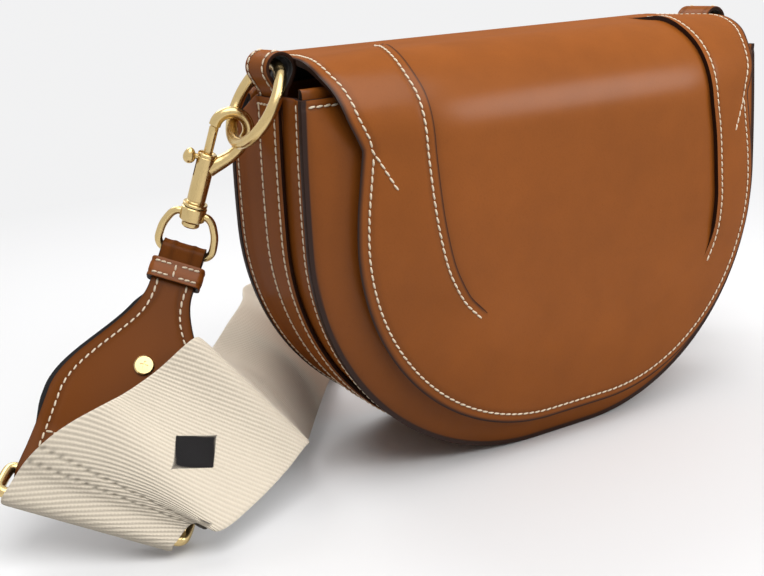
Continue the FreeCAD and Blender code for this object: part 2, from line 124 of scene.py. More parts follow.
# Flap, on its unrolled length: 0 where the front turns upright, growing down the front
FLAP_FRONT = -46.0
FLAP_TOP = 162.0
FLAP_FRONT_RADIUS = 30.0
FLAP_BACK_RADIUS = 12.0
FLAP_BACK = 33.5
FLAP_INSET = 13.2
FLAP_THICKNESS = 2.4
UPRIGHT = FLAP_TOP - FLAP_FRONT_RADIUS
BROW = -FLAP_FRONT_RADIUS * pi / 2
TOP_RUN = (FLAP_BACK - FLAP_BACK_RADIUS) - (FLAP_FRONT + FLAP_FRONT_RADIUS)
REAR = BROW - TOP_RUN
HEEL = REAR - FLAP_BACK_RADIUS * pi / 2 + 0.4
NOTCH = (92.5, 1.0)
WING = ((98.6, -60.0), (101.4, -46.0), (101.0, -32.0), (98.9, -23.2), (97.7, -17.5), (96.2, -9.5), NOTCH)
HIP = (NOTCH, (94.0, 10.4), (95.8, 22.2), (96.6, 31.0))
LEFT_DART = (
    (38.0, HEEL), (46.0, -81.0), (54.0, -68.0), (62.0, -54.0), (67.2, -40.0), (68.6, -26.0), (67.5, -14.0),
    (67.0, 3.0), (65.7, 20.8), (64.0, 33.7), (60.9, 47.0), (55.3, 58.2), (47.6, 67.2), (43.5, 78.0),
    (41.0, 91.0), (40.2, 103.0))
RIGHT_DART = (
    (90.0, HEEL), (82.0, -84.0), (73.0, -72.0), (66.5, -50.0), (63.8, -34.0), (64.3, -19.4), (65.2, -2.5),
    (67.7, 14.0), (68.8, 30.7), (69.2, 43.4), (67.3, 57.0), (63.6, 65.8), (57.0, 75.0), (50.0, 86.0),
    (44.0, 98.0))
DART_END = 66.5
DART_TOP = -66.0
DART_HEIGHT = 1.5
DART_TURN = 71.7
DART_SEAM = 3.0
DART_GROOVE = 3.3
FLAP_MIDDLE = (0.0, 10.0)
CROWN_REACH = 40.0
SWELL_ONSET = (-58.0, 4.0)
BULGE = (-45.0, 79.0)
BULGE_HEIGHT = 0.7
BULGE_SPREAD = 130.0
SEAM_TAIL = ((89.2, 1.0), (81.6, 15.5))

# Strap ends
RING_SWING = 31.0
RING_RADIUS = 15.3
RING_WIRE = 2.2
RING_SAG = 1.46
TAB_EYE_X = 105.5
TAB_EYE_LEVEL = 158.6
TAB_WIDTH = 18.0
TAB_SEAM = 2.8
STRAP_TAB_LENGTH = 93.0
NECK_HALF = 8.0
FLARE_START = 15.0
FLARE_RUN = 48.0
TAB_FACE = 1.6
TAB_DISH = 2.2
STRAP_SEAM = 4.2
SEWN_HALF = 25.8
SEWN_TOP = -78.0
STUD_LEVEL = -46.0
KEEPER_TOP = -5.0
KEEPER_FOOT = -13.0
KEEPER_SEAM = 1.7
KEEPER_FACE = 3.85
KEEPER_RUNS = ((-8.6, -1.6), (2.2, 8.6))
STRAP_RING_HALF = 32.8
STRAP_RING_DROP = 12.0
STRAP_RING_BEND = 2.6
STRAP_RING_WIRE = 2.0
WEBBING_HALF = 30.0
EYE_LEVEL = -38.25
HANGS = {"left": (-0.5958, -0.7481, -0.2921), "right": (-0.8647, 0.2892, -0.4108)}
SIGNS = {"left": -1.0, "right": 1.0}

# Lower edge and width direction of the webbing, from the left strap ring to the right one
WEBBING_STATIONS = (
    ((-170.6, -32.6, 5.75), (-0.7951, 0.4982, 0.3458)),
    ((-164.56, -36.96, 12.1), (-0.7387, 0.4982, 0.454)),
    ((-157.3, -42.24, 9.24), (-0.4912, 0.5087, 0.7071)),
    ((-140.8, -35.64, 11.88), (-0.5647, 0.4255, 0.7071)),
    ((-124.3, -26.84, 15.84), (-0.6189, 0.3154, 0.7193)),
    ((-111.54, -19.36, 20.24), (-0.5855, 0.1902, 0.788)),
    ((-105.6, -8.0, 13.0), (-0.605, 0.13, 0.785)),
    ((-98.5, 5.4, 6.5), (-0.615, 0.12, 0.779)),
    ((-78.5, 34.4, 6.5), (-0.618, 0.12, 0.777)),
    ((-59.0, 61.5, 6.0), (-0.62, 0.16, 0.768)),
    ((-46.5, 78.5, 5.0), (-0.54, 0.42, 0.73)),
    ((-19.8, 88.0, 2.31), (-0.2621, 0.8065, 0.5299)),
    ((14.96, 79.2, 2.31), (-0.0453, 0.8648, 0.5)),
    ((44.0, 67.1, 2.31), (0.0302, 0.8655, 0.5)),
    ((67.86, 55.55, 5.64), (0.0503, 0.8634, 0.502)))

# The webbing is two pieces that meet at this distance from the fold; each is listed with the two bodies of
# one joint and two points, and stays where it is made
WEBBING_CUT = 18.0
WEBBING_FACE = 0.95
WEBBING_UNDER = -2.95
WEBBING_TAIL = 27.0
WEBBING_FOLD = 4.2
WEBBING_SEAMS = (11.5, 15.7)
HUMP_START = (78.0, 108.0)
HUMP_END = (215.0, 165.0)
HUMP_HEIGHT = 8.0
HUMP_PULL = 0.045
FOLD_BEND = ("webbing", "strap_ring_left", (-0.0396, 0.0028, -0.0689), (-0.0351, 0.0025, -0.0611))
LAID_BEND = ("strap_ring_left", "strap_tab_left", (-0.1175, -0.0605, -0.0572), (-0.0792, -0.0407, -0.0385))

# Snap hooks, measured from the thumb bolt along the barrel
BOW_RADIUS = 6.2
BOW_LEVEL = 13.0
BOW_WIRE = 2.2
BOW_STEM = ((11.2, 7.4, 1.0), (9.3, 3.9, 1.06), (6.6, 0.9, 1.18), (3.8, -1.6, 1.36), (1.6, -3.6, 1.5))
BOLT_SLOT = ((-9.0, -1.15, -7.0), (0.0, 1.15, 4.0))
BOLT_STEM = ((-0.5, 0.0, 0.2), (-3.0, 0.0, 0.2), (-5.6, 0.0, 0.2))
BOLT_STEM_WIRE = 1.1
KNOB_RADIUS = 2.5
KNOB_PLACE = (-6.3, 0.0, 0.0)
SPRING_FOOT = -12.7
SPRING_RISE = 7.0
SPRING_RADIUS = 1.15
SPRING_WIRE = 0.24
SPRING_POINTS = 60
EYE_START = -21.75
EYE_HALF = ((3.6, 0.2), (6.4, 0.9), (9.0, 4.6), (10.4, 10.4), (9.9, 14.6), (7.6, 16.4))
EYE_WIRE = 1.5

# Radius and height along the profile of each turned piece
PROFILES = {
    "barrel": (
        (0.0, -13.0), (1.8, -13.0), (1.8, 2.0), (2.1, 2.25), (3.2, 2.25), (3.5, 1.95), (3.5, 1.1),
        (3.36, 0.95), (3.36, 0.75), (3.5, 0.6), (3.5, -16.2), (3.3, -16.4), (3.3, -16.8), (3.5, -17.0),
        (3.5, -17.4), (4.4, -17.5), (4.6, -17.7), (4.6, -18.5), (4.4, -18.7), (1.9, -18.7),
        (1.9, -24.8), (3.0, -24.8), (3.4, -25.2), (3.4, -26.6), (3.0, -27.1), (1.2, -27.3), (0.0, -27.3)),
    "pin": (
        (0.0, -5.3), (1.7, -5.3), (1.7, 10.4), (1.72, 10.6), (1.72, 12.2), (1.45, 12.65), (0.0, 12.75)),
    "collar": (
        (2.05, -19.0), (4.4, -19.0), (4.8, -19.35), (4.8, -24.1), (4.4, -24.5), (3.75, -24.5), (3.75, -24.3),
        (2.05, -24.3), (2.05, -19.0)),
    "head": (
        (0.0, 1.2), (3.2, 1.15), (3.7, 0.7), (3.7, 0.0), (1.6, 0.0), (1.6, -3.2), (3.7, -3.2), (3.7, -3.9),
        (3.2, -4.3), (0.0, -4.4)),
    "snap_cup": (
        (0.0, 0.9), (5.4, 0.9), (5.6, 1.1), (5.6, 1.8), (5.9, 2.0), (7.4, 2.0), (8.0, 1.5), (8.0, -0.4),
        (0.0, -0.4)),
    "snap_button": (
        (0.0, 4.5), (5.0, 4.5), (5.4, 4.2), (5.4, 3.0), (7.6, 2.8), (8.0, 2.4), (8.0, 0.0), (0.0, 0.0)),
}

# Camera, floor, and each lamp's place, aim, size and share of the key light's power, in metres
CAMERA_LENS = 52.07
FLOOR_SIZE = 14.0
FLOOR_LEVEL = -0.0002
FLOOR_FADE = ((0.24, 0.0), (0.62, 1.0))
CAMERA_PLACE = (-0.2720, -0.3682, 0.1927)
CAMERA_RIGHT = (0.860, -0.506, -0.061)
CAMERA_BACK = (-0.4715, -0.8350, 0.2838)
LAMPS = {
    "key": ((-0.12, -0.5, 1.1), (-0.05, 0.0, 0.05), 1.2, 1.0),
    "front": ((0.8, -0.9, 0.6), (0.0, 0.0, 0.08), 0.6, 0.62),
    "back": ((-0.1, 0.75, 0.9), (0.0, 0.0, 0.1), 0.7, 0.45),
}


# Settings that a user would change
def colour_setting(name, description, default):
    return FloatVectorProperty(name=name, description=description, default=default, subtype="COLOR", size=3,
                               min=0, max=1)


def length_setting(name, description, default, low, high):
    return FloatProperty(name=name, description=description, default=default, min=low, max=high,
                         unit="LENGTH")


class LeatherSettings(bpy.types.PropertyGroup):
    colour: colour_setting("Leather", "Tan of the smooth leather", (0.285, 0.081, 0.012))
    edge_colour: colour_setting("Edge paint", "Paint on the cut edges", (0.03, 0.013, 0.0085))
    thread_colour: colour_setting("Thread", "Waxed thread of the saddle stitch", (0.93, 0.79, 0.58))
    lining_colour: colour_setting("Lining", "Suede lining and reverse", (0.009, 0.008, 0.0085))
    stitch_pitch: length_setting("Stitch pitch", "Length of one stitch and its gap", 0.0029, 0.001, 0.01)
    stitch_inset: length_setting("Stitch inset", "Distance of the stitching from a cut edge", 0.0039, 0.001,
                                 0.01)
    flap_crown: length_setting("Flap crown", "How far the flap's middle swells out", 0.0062, 0.0, 0.012)


class BrassSettings(bpy.types.PropertyGroup):
    colour: colour_setting("Brass", "Pale satin plating", (0.645, 0.48, 0.225))
    roughness: FloatProperty(name="Satin", description="Roughness of the plating", subtype="FACTOR",
                             default=0.22, min=0, max=1)


class WebbingSettings(bpy.types.PropertyGroup):
    colour: colour_setting("Webbing", "Ecru cotton of the strap", (0.75, 0.66, 0.53))
    reverse_colour: colour_setting("Reverse", "Back of the webbing", (0.09, 0.078, 0.062))
    motif_colour: colour_setting("Motif", "Satin stitching on the webbing", (0.012, 0.011, 0.0115))
    rib_pitch: length_setting("Rib pitch", "Distance between two ribs of the twill", 0.0017, 0.0005, 0.01)


class StageSettings(bpy.types.PropertyGroup):
    floor_colour: colour_setting("Floor", "Pale studio floor", (0.8, 0.8, 0.805))
    backdrop_colour: colour_setting("Backdrop", "White behind the bag", (0.885, 0.885, 0.89))
    key_power: FloatProperty(name="Key light", description="Power of the main soft light in watts",
                             default=10.0, min=0, max=100)


# Shader maths on sockets
class Value:
    """A shader value: sums on it add Math nodes to its finish."""

    def __init__(self, finish, socket):
        self.finish = finish
        self.socket = socket

    def maths(self, operation, first, second):
        return self.finish.node("ShaderNodeMath", {"operation": operation}, {0: first, 1: second})

    def __add__(self, other):
        return self.maths("ADD", self, other)

    def __radd__(self, other):
        return self.maths("ADD", other, self)

    def __sub__(self, other):
        return self.maths("SUBTRACT", self, other)

    def __rsub__(self, other):
        return self.maths("SUBTRACT", other, self)

    def __mul__(self, other):
        return self.maths("MULTIPLY", self, other)


class Finish:
    """A material in the making."""

    def __init__(self, name, **sockets):
        self.material = bpy.data.materials.new(name)
        self.material.use_nodes = True
        self.tree = self.material.node_tree
        self.shader = self.tree.nodes["Principled BSDF"]
        self.set(**sockets)

    @classmethod
    def of_world(cls, world):
        finish = cls.__new__(cls)
        finish.tree = world.node_tree
        return finish

    def put(self, socket, value):
        if isinstance(value, Value):
            self.tree.links.new(value.socket, socket)
        elif socket.type == "RGBA" and len(value) == 3:
            socket.default_value = (*value, 1.0)
        else:
            socket.default_value = value

    def node(self, kind, settings, inputs, output=0):
        """A node of this type, with its settings made first and then the values or links of its sockets."""
        made = self.tree.nodes.new(kind)
        for key, value in settings.items():
            if key == "stops":
                self.stops(made.color_ramp, value)
            else:
                setattr(made, key, value)
        for key, value in inputs.items():
            self.put(made.inputs[key], value)
        return Value(self, made.outputs[output])

    def stops(self, ramp, stops):
        while len(ramp.elements) < len(stops):
            ramp.elements.new(1.0)
        for element, (place, grey) in zip(ramp.elements, stops):
            element.position = place
            element.color = (grey, grey, grey, 1.0)

    def set(self, **sockets):
        for key, value in sockets.items():
            self.put(self.shader.inputs[key.replace("_", " ")], value)

    def place(self, kind="Object"):
        return self.node("ShaderNodeTexCoord", {}, {}, kind)

    def noise(self, scale, detail=2.0, roughness=0.5, vector=None):
        inputs = {"Scale": scale, "Detail": detail, "Roughness": roughness}
        inputs["Vector"] = vector or self.place()
        return self.node("ShaderNodeTexNoise", {}, inputs)

    def cells(self, scale):
        return self.node("ShaderNodeTexVoronoi", {}, {"Vector": self.place(), "Scale": scale})

    def wave(self, turns):
        """Sine of these turns, from 0 to 1."""
        return self.node("ShaderNodeMath", {"operation": "SINE"}, {0: turns}) * 0.5 + 0.5

    def attribute(self, name):
        return self.node("ShaderNodeAttribute", {"attribute_name": name}, {}, "Fac")

    def ramp(self, value, *stops):
        return self.node("ShaderNodeValToRGB", {"stops": stops}, {"Fac": value})

    def mix(self, share, first, second):
        return self.node("ShaderNodeMix", {"data_type": "RGBA"}, {0: share, 6: first, 7: second}, 2)

    def tones(self, share, base, low, high):
        """Mix of two shades of one colour."""
        return self.mix(share, shade(base, low), shade(base, high))

    def seen(self):
        """1 for rays from the camera and for what metal and glass show."""
        paths = self.node("ShaderNodeLightPath", {}, {}, "Is Camera Ray")
        outputs = paths.socket.node.outputs
        either = paths + Value(self, outputs["Is Glossy Ray"]) + Value(self, outputs["Is Transmission Ray"])
        return paths.maths("MINIMUM", either, 1.0)

    def bump(self, height, distance, strength):
        inputs = {"Height": height, "Distance": distance, "Strength": strength}
        self.set(Normal=self.node("ShaderNodeBump", {}, inputs))

    def done(self, colour, roughness, relief=None, distance=0.0, strength=1.0):
        """The material with its colour, its roughness and its relief."""
        self.set(Base_Color=colour, Roughness=roughness)
        if relief is not None:
            self.bump(relief, distance, strength)
        return self.material


def shade(colour, share):
    return tuple(part * share for part in colour)


def smooth_leather(settings):
    """Polished calf: slow changes of tone, faint pores, and darker at seams, cut edges and laps, partly
    creased leather and partly painted shade.
    """
    finish = Finish("smooth_calf", Coat_Weight=0.1, Coat_Roughness=0.3, Coat_IOR=2.4, Specular_IOR_Level=0.0)
    cloud = finish.noise(16.0, 3.0, 0.55)
    streak = finish.noise(70.0, 4.0, 0.6)
    pores = finish.noise(1500.0, 3.0, 0.55)
    grain = finish.cells(1150.0)
    tone = finish.ramp(cloud * 0.6 + streak * 0.4, (0.3, 0.0), (0.72, 1.0))
    speck = finish.ramp(pores, (0.3, 1.0), (0.46, 0.0)) * 0.16
    colour = finish.tones(tone, settings.colour, 0.86, 1.13)
    colour = finish.mix(speck, colour, shade(settings.colour, 0.6))
    # Painted shade, partly real crease: darker in stitch grooves, at cut edges, in creases and beside laps,
    # by the press share of the mesh
    colour = finish.mix(finish.attribute("pressed") * 0.5, colour, shade(settings.colour, 0.42))
    # Edge paint on cut edges; on the flap it also stands in as painted shade along the rim and the left dart
    colour = finish.mix(finish.attribute("painted"), colour, settings.edge_colour)
    relief = pores * 0.5 + grain * 0.3 + streak * 0.5
    return finish.done(colour, 0.33 + streak * 0.1 + pores * 0.07, relief, 0.00009, 0.55)


def shaded_leather(settings):
    """Tan calf at 0.6 of its colour for the strap ends, a darker copy that stands in as painted shade."""
    finish = Finish("dark_calf", Coat_Weight=0.035, Coat_Roughness=0.3, Coat_IOR=2.4, Specular_IOR_Level=0.0)
    # Painted shade: the strap tabs wear the tan at 0.6 of its colour, standing for the shade that falls on
    # them
    base = shade(settings.colour, 0.6)
    cloud = finish.noise(22.0, 3.0, 0.55)
    pores = finish.noise(1500.0, 3.0, 0.55)
    colour = finish.tones(cloud, base, 0.85, 1.15)
    # Painted shade, partly real crease: darker in the stitch grooves and at the cut edges
    colour = finish.mix(finish.attribute("pressed") * 0.5, colour, shade(base, 0.42))
    return finish.done(colour, 0.36 + cloud * 0.1 + pores * 0.07, pores, 0.00007, 0.5)


def edge_paint(settings):
    """Thick dark paint on the cut edges, slightly uneven."""
    finish = Finish("edge_paint", Specular_IOR_Level=0.06)
    lumps = finish.noise(420.0, 3.0)
    rub = finish.ramp(finish.noise(150.0, 4.0, 0.65), (0.55, 0.0), (0.8, 1.0))
    colour = finish.tones(rub * 0.5, settings.edge_colour, 1.0, 2.6)
    return finish.done(colour, 0.42 + lumps * 0.16, lumps, 0.00016, 0.5)


def suede(settings):
    """Black lining with a short brushed nap."""
    finish = Finish("black_suede", Sheen_Weight=0.25, Sheen_Roughness=0.5, Specular_IOR_Level=0.2)
    nap = finish.noise(1900.0, 3.0, 0.6)
    drift = finish.noise(60.0, 3.0)
    colour = finish.tones(nap * 0.6 + drift * 0.5, settings.lining_colour, 0.6, 2.2)
    return finish.done(colour, 0.78 + nap * 0.15, nap, 0.00018, 0.6)


def waxed_thread(settings):
    finish = Finish("waxed_thread", Sheen_Weight=0.1)
    twist = finish.noise(2400.0, 2.0)
    soil = finish.noise(130.0, 3.0)
    colour = finish.tones(twist * 0.35 + soil * 0.4, settings.thread_colour, 1.0, 0.62)
    return finish.done(colour, 0.5 + twist * 0.2, twist, 0.00012, 0.6)


def satin_brass(settings):
    """Pale satin plating with fine brushing and softer, darker patches."""
    finish = Finish("plated_brass", Metallic=1.0)
    turn = finish.node("ShaderNodeMapping", {}, {"Vector": finish.place(), "Scale": (1.0, 1.0, 0.12)})
    brush = finish.noise(2200.0, 3.0, 0.6, turn)
    cloud = finish.noise(190.0, 3.0)
    spots = finish.ramp(finish.noise(900.0, 2.0), (0.62, 0.0), (0.75, 1.0))
    colour = finish.tones(cloud, settings.colour, 0.9, 1.07)
    colour = finish.mix(spots * 0.25, colour, shade(settings.colour, 0.6))
    roughness = settings.roughness - 0.05 + brush * 0.1 + cloud * 0.05
    return finish.done(colour, roughness, brush, 0.00002, 0.35)


def spring_steel():
    finish = Finish("bright_steel", Metallic=1.0)
    cloud = finish.noise(700.0, 3.0)
    return finish.done(finish.mix(cloud, (0.42, 0.42, 0.43), (0.6, 0.6, 0.6)), 0.25 + cloud * 0.2)


def satin_thread(settings):
    finish = Finish("satin_thread", Specular_IOR_Level=0.12)
    twist = finish.noise(2600.0, 2.0)
    colour = finish.tones(twist, settings.motif_colour, 0.6, 1.6)
    return finish.done(colour, 0.42 + twist * 0.2, twist, 0.00008, 0.5)


def twill(settings):
    """Face of the webbing: slanted ribs of cotton, each a row of small floats."""
    return woven("cotton_twill", settings, settings.colour)


def twill_reverse(settings):
    return woven("webbing_reverse", settings, settings.reverse_colour)


def woven(name, settings, base):
    """Colour and relief of the twill, on a UV map in tenths of a metre: across, then along."""
    finish = Finish(name, Sheen_Weight=0.2, Sheen_Roughness=0.5, Specular_IOR_Level=0.15)
    apart = finish.node("ShaderNodeSeparateXYZ", {}, {0: finish.place("UV")})
    across = Value(finish, apart.socket.node.outputs[0]) * 0.1
    length = Value(finish, apart.socket.node.outputs[1]) * 0.1
    wander = finish.noise(90.0, 2.0) * 0.0003
    rib = finish.wave((length + across * 0.36 + wander) * (tau / settings.rib_pitch))
    floats = finish.wave((across - length * 0.5) * (tau / (settings.rib_pitch * 0.75)))
    yarn = finish.noise(1700.0, 3.0, 0.6)
    cloud = finish.noise(45.0, 3.0)
    relief = rib * 0.7 + rib * floats * 0.3 + yarn * 0.25
    # Painted shade: the valleys between the ribs are darkened in colour as well as sunk by the bump
    valley_shade = finish.ramp(rib + yarn * 0.3, (0.12, 1.0), (0.6, 0.0))
    colour = finish.tones(cloud, base, 0.95, 1.05)
    colour = finish.mix(valley_shade * 0.3, colour, shade(base, 0.7))
    # Painted shade: darker in the sunken dents of the seams
    colour = finish.mix(finish.attribute("pressed") * 0.7, colour, shade(base, 0.45))
    return finish.done(colour, 0.82 + yarn * 0.12, relief, 0.00025, 0.9)


def foam():
    finish = Finish("foam_cells", Specular_IOR_Level=0.2)
    cells = finish.cells(900.0)
    colour = finish.mix(cells, (0.5, 0.47, 0.4), (0.36, 0.33, 0.27))
    return finish.done(colour, 0.85 + cells * 0.1, cells, 0.0004, 0.8)


def stiff_board():
    finish = Finish("stiff_board", Specular_IOR_Level=0.3)
    fibre = finish.noise(800.0, 4.0, 0.7)
    colour = finish.mix(fibre, (0.24, 0.22, 0.19), (0.36, 0.33, 0.29))
    return finish.done(colour, 0.7 + fibre * 0.2, fibre, 0.0002, 0.5)


# Maker of each finish, the settings that it reads and the slot of the pieces that wear it
FINISHES = {
    "leather": (smooth_leather, "handbag_leather", "tan_leather"),
    "shaded_strap_leather": (shaded_leather, "handbag_leather", "tan_leather"),
    "edge": (edge_paint, "handbag_leather", "tan_leather"),
    "suede": (suede, "handbag_leather", "black_lining"),
    "thread": (waxed_thread, "handbag_leather", "tan_leather"),
    "brass": (satin_brass, "handbag_brass", "satin_brass"),
    "steel": (spring_steel, None, "spring_steel"),
    "webbing": (twill, "handbag_webbing", "ecru_webbing"),
    "reverse": (twill_reverse, "handbag_webbing", None),
    "satin": (satin_thread, "handbag_webbing", "ecru_webbing"),
    "foam": (foam, None, "foam"),
    "board": (stiff_board, None, "stiffener"),
}
MADE = {}


def finish_named(name):
    if name not in MADE:
        maker, group = FINISHES[name][:2]
        MADE[name] = maker(getattr(bpy.context.scene, group)) if group else maker()
    return MADE[name]


# Modelling helpers
def only(piece):
    """Leaves this piece alone selected and active."""
    bpy.ops.object.select_all(action="DESELECT")
    piece.select_set(True)
    bpy.context.view_layer.objects.active = piece
    return piece


def modified(piece, kind, **settings):
    """Adds a modifier with these settings and applies it."""
    modifier = piece.modifiers.new(kind.lower(), kind)
    for key, value in settings.items():
        setattr(modifier, key, value)
    only(piece)
    bpy.ops.object.modifier_apply(modifier=modifier.name)
    return piece


def edited(piece, **steps):
    """Runs mesh operators with their settings, in this order, on the whole of a piece."""
    only(piece)
    bpy.ops.object.mode_set(mode="EDIT")
    bpy.ops.mesh.select_all(action="SELECT")
    for name, settings in steps.items():
        getattr(bpy.ops.mesh, name)(**settings)
    bpy.ops.object.mode_set(mode="OBJECT")
    return piece


def tidy(piece, angle=35.0):
    """Merges doubles, turns the faces outwards and shades them smooth."""
    edited(piece, remove_doubles={"threshold": WELD * MM}, normals_make_consistent={"inside": False})
    bpy.ops.object.shade_smooth_by_angle(angle=radians(angle))
    return piece


def merged(piece, distance):
    """Merges points that lie this close, and drops the faces that vanish."""
    return edited(piece, remove_doubles={"threshold": distance * MM})


def joined(name, pieces):
    first = only(pieces[0])
    for piece in pieces[1:]:
        piece.select_set(True)
    bpy.ops.object.join()
    first.name = name
    first.data.name = name
    return first


def moved(piece, body):
    """Lets a piece ride on a body; a piece given two bodies and two points instead only has its place baked
    into its mesh.
    """
    if isinstance(body, str):
        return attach(piece, body)
    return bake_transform(piece)


def coated(piece, finish):
    """Gives a piece one material all over."""
    piece.data.materials.clear()
    piece.data.materials.append(finish_named(finish))


def dressed(piece, finish, body, *nodes):
    """Gives a finished piece its material and its body, and hides the frame's nodes that it stands for."""
    coated(piece, finish)
    moved(piece, body)
    if nodes:
        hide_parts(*nodes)
    return piece


def placed(piece, place):
    """Moves the mesh itself, so that the object stays at the origin."""
    piece.data.transform(piece.matrix_world)
    piece.matrix_world = Matrix.Identity(4)
    piece.data.transform(place)
    return piece


def standing(origin, up, across):
    """Place with Z along up and X along across, from an origin in metres."""
    up = Vector(up).normalized()
    across = Vector(across)
    across = (across - up * across.dot(up)).normalized()
    turn = Matrix((across, up.cross(across), up)).transposed().to_4x4()
    return Matrix.Translation(origin) @ turn


def linked(name, data):
    """A new object of this data, in the scene."""
    piece = bpy.data.objects.new(name, data)
    bpy.context.scene.collection.objects.link(piece)
    return piece


def added(shape, **settings):
    """A new primitive, alone selected."""
    bpy.ops.object.select_all(action="DESELECT")
    getattr(bpy.ops.mesh, "primitive_" + shape + "_add")(**settings)
    return bpy.context.object


def turned(name, steps=40):
    """Spins the profile of this name round Z."""
    mesh = bpy.data.meshes.new(name)
    points = [(radius * MM, 0, level * MM) for radius, level in PROFILES[name]]
    mesh.from_pydata(points, [(k, k + 1) for k in range(len(points) - 1)], [])
    spin = {"steps": steps, "angle": tau, "center": (0, 0, 0), "axis": (0, 0, 1)}
    return tidy(edited(linked(name, mesh), spin=spin))


def wire(name, points, radius, thickness=None, closed=False, resolution=10):
    """Round bar along a smooth line, with a share of the radius at each point."""
    curve = bpy.data.curves.new(name, "CURVE")
    curve.dimensions = "3D"
    curve.bevel_depth = radius * MM
    curve.bevel_resolution = 6
    curve.resolution_u = resolution
    curve.use_fill_caps = True
    spline = curve.splines.new("BEZIER")
    spline.bezier_points.add(len(points) - 1)
    for knot, point, share in zip(spline.bezier_points, points, thickness or [1.0] * len(points)):
        knot.co = Vector(point) * MM
        knot.handle_left_type = "AUTO"
        knot.handle_right_type = "AUTO"
        knot.radius = share
    spline.use_cyclic_u = closed
    only(linked(name, curve))
    bpy.ops.object.convert(target="MESH")
    return tidy(bpy.context.object)


def cut_by(piece, cutter):
    modified(piece, "BOOLEAN", operation="DIFFERENCE", solver="EXACT", object=cutter)
    bpy.data.objects.remove(cutter)
    return piece


def box_of(low, high):
    middle = (Vector(low) + Vector(high)) / 2 * MM
    return added("cube", size=1, location=middle, scale=(Vector(high) - Vector(low)) * MM)


# Sheets and stitching
def lengths(points):
    steps = np.linalg.norm(np.diff(points, axis=0), axis=1)
    return np.concatenate(([0.0], np.cumsum(steps)))


def along(points, shares):
    """Points at these shares of a line's length."""
    points = np.asarray(points, float)
    reach = lengths(points)
    wanted = np.asarray(shares) * reach[-1]
    return np.stack([np.interp(wanted, reach, column) for column in points.T], axis=1)


def spaced(points, count):
    """This many points at even distances along a line."""
    return along(points, np.linspace(0, 1, count))


def flowing(points, steps):
    """Smooth line through the points."""
    points = np.asarray(points, float)
    padded = np.vstack([2 * points[0] - points[1], points, 2 * points[-1] - points[-2]])
    t = np.linspace(0, 1, steps, endpoint=False)[:, None]
    runs = []
    for a, b, c, d in zip(padded, padded[1:], padded[2:], padded[3:]):
        runs.append(0.5 * (2 * b + (c - a) * t + (2 * a - 5 * b + 4 * c - d) * t ** 2
                           + (3 * b - a - 3 * c + d) * t ** 3))
    return np.vstack(runs + [points[-1:]])


def patch(top, foot, left, right, across, down):
    """Grid that fills the space between four lines, at these shares of their lengths."""
    top, foot = along(top, across), along(foot, across)
    left, right = along(left, down), along(right, down)
    u = np.asarray(across)[None, :, None]
    v = np.asarray(down)[:, None, None]
    between = (1 - v) * top + v * foot + (1 - u) * left[:, None] + u * right[:, None]
    corners = (1 - u) * ((1 - v) * top[0] + v * foot[0]) + u * ((1 - v) * top[-1] + v * foot[-1])
    return between - corners


def eased(count, power=1.6):
    """Shares from 0 to 1 that crowd at both ends."""
    t = np.linspace(-1, 1, count)
    return (np.sign(t) * (1 - (1 - np.abs(t)) ** power) + 1) / 2


def step(low, high, value):
    t = np.clip((value - low) / (high - low), 0, 1)
    return t * t * (3 - 2 * t)


def gap_to(line, points):
    """Distance of each point from a line of short straight stretches."""
    flat = points.reshape(-1, points.shape[-1])
    best = np.full(len(flat), 1e9)
    for start, end in zip(line[:-1], line[1:]):
        stretch = end - start
        share = np.clip((flat - start) @ stretch / max(stretch @ stretch, 1e-12), 0, 1)
        best = np.minimum(best, np.linalg.norm(flat - start - share[:, None] * stretch, axis=1))
    return best.reshape(points.shape[:-1])


def unit(vectors):
    return vectors / np.linalg.norm(vectors, axis=-1)[..., None]


def beside(line):
    """Directions square to a flat line, on its right as it runs."""
    ahead = np.gradient(line, axis=0)
    return unit(np.stack([ahead[:, 1], -ahead[:, 0]], axis=1))


def flat_grid(x, z):
    return np.stack(np.meshgrid(x, z), axis=-1)


def three_sides(half, top, foot):
    """Line down the left, along the foot and up the right of a rectangle."""
    return np.array([(-half, top), (-half, foot), (half, foot), (half, top)])


def bell(distance, at, width):
    return np.exp(-((distance - at) / width) ** 2)


def fading(distance, reach):
    return np.exp(-distance / reach)


def groove(distance, at, width, depth):
    return -depth * bell(distance, at, width)


def press_and_shade_at(rim, seam, width=1.0, reach=0.9):
    """How much the leather is darkened at a seam and at its cut edge: partly creased leather, partly painted
    shade in the groove and at the edge.
    """
    return np.clip(bell(rim, seam, width) + fading(rim, reach), 0, 1)


def surfaced(name, grid, pressed=0.0, marks=None, wrap=False, flip=False, scale_uv=None, painted=None):
    """Mesh of a grid of points, with shares at its points and a material number at its faces."""
    rows, columns = grid.shape[:2]
    index = np.arange(rows * columns).reshape(rows, columns)
    if wrap:
        index = np.hstack([index, index[:, :1]])
    quads = np.stack([index[:-1, :-1], index[:-1, 1:], index[1:, 1:], index[1:, :-1]], axis=2)
    faces = quads.reshape(-1, 4)
    if flip:
        faces = faces[:, ::-1]
    mesh = bpy.data.meshes.new(name)
    mesh.from_pydata((grid.reshape(-1, 3) * MM).tolist(), [], faces.tolist())
    for key, shares in (("pressed", pressed), ("painted", painted)):
        if shares is not None:
            layer = mesh.attributes.new(key, "FLOAT", "POINT")
            shares = np.broadcast_to(np.asarray(shares, np.float32), (rows, columns))
            layer.data.foreach_set("value", shares.ravel())
    if marks is not None:
        mesh.polygons.foreach_set("material_index", np.asarray(marks, np.int32).ravel())
    if scale_uv is not None:
        layer = mesh.uv_layers.new(name="weave")
        corner = np.zeros(len(mesh.loops), np.int32)
        mesh.loops.foreach_get("vertex_index", corner)
        layer.data.foreach_set("uv", scale_uv.reshape(-1, 2)[corner].astype(np.float32).ravel())
    return linked(name, mesh)


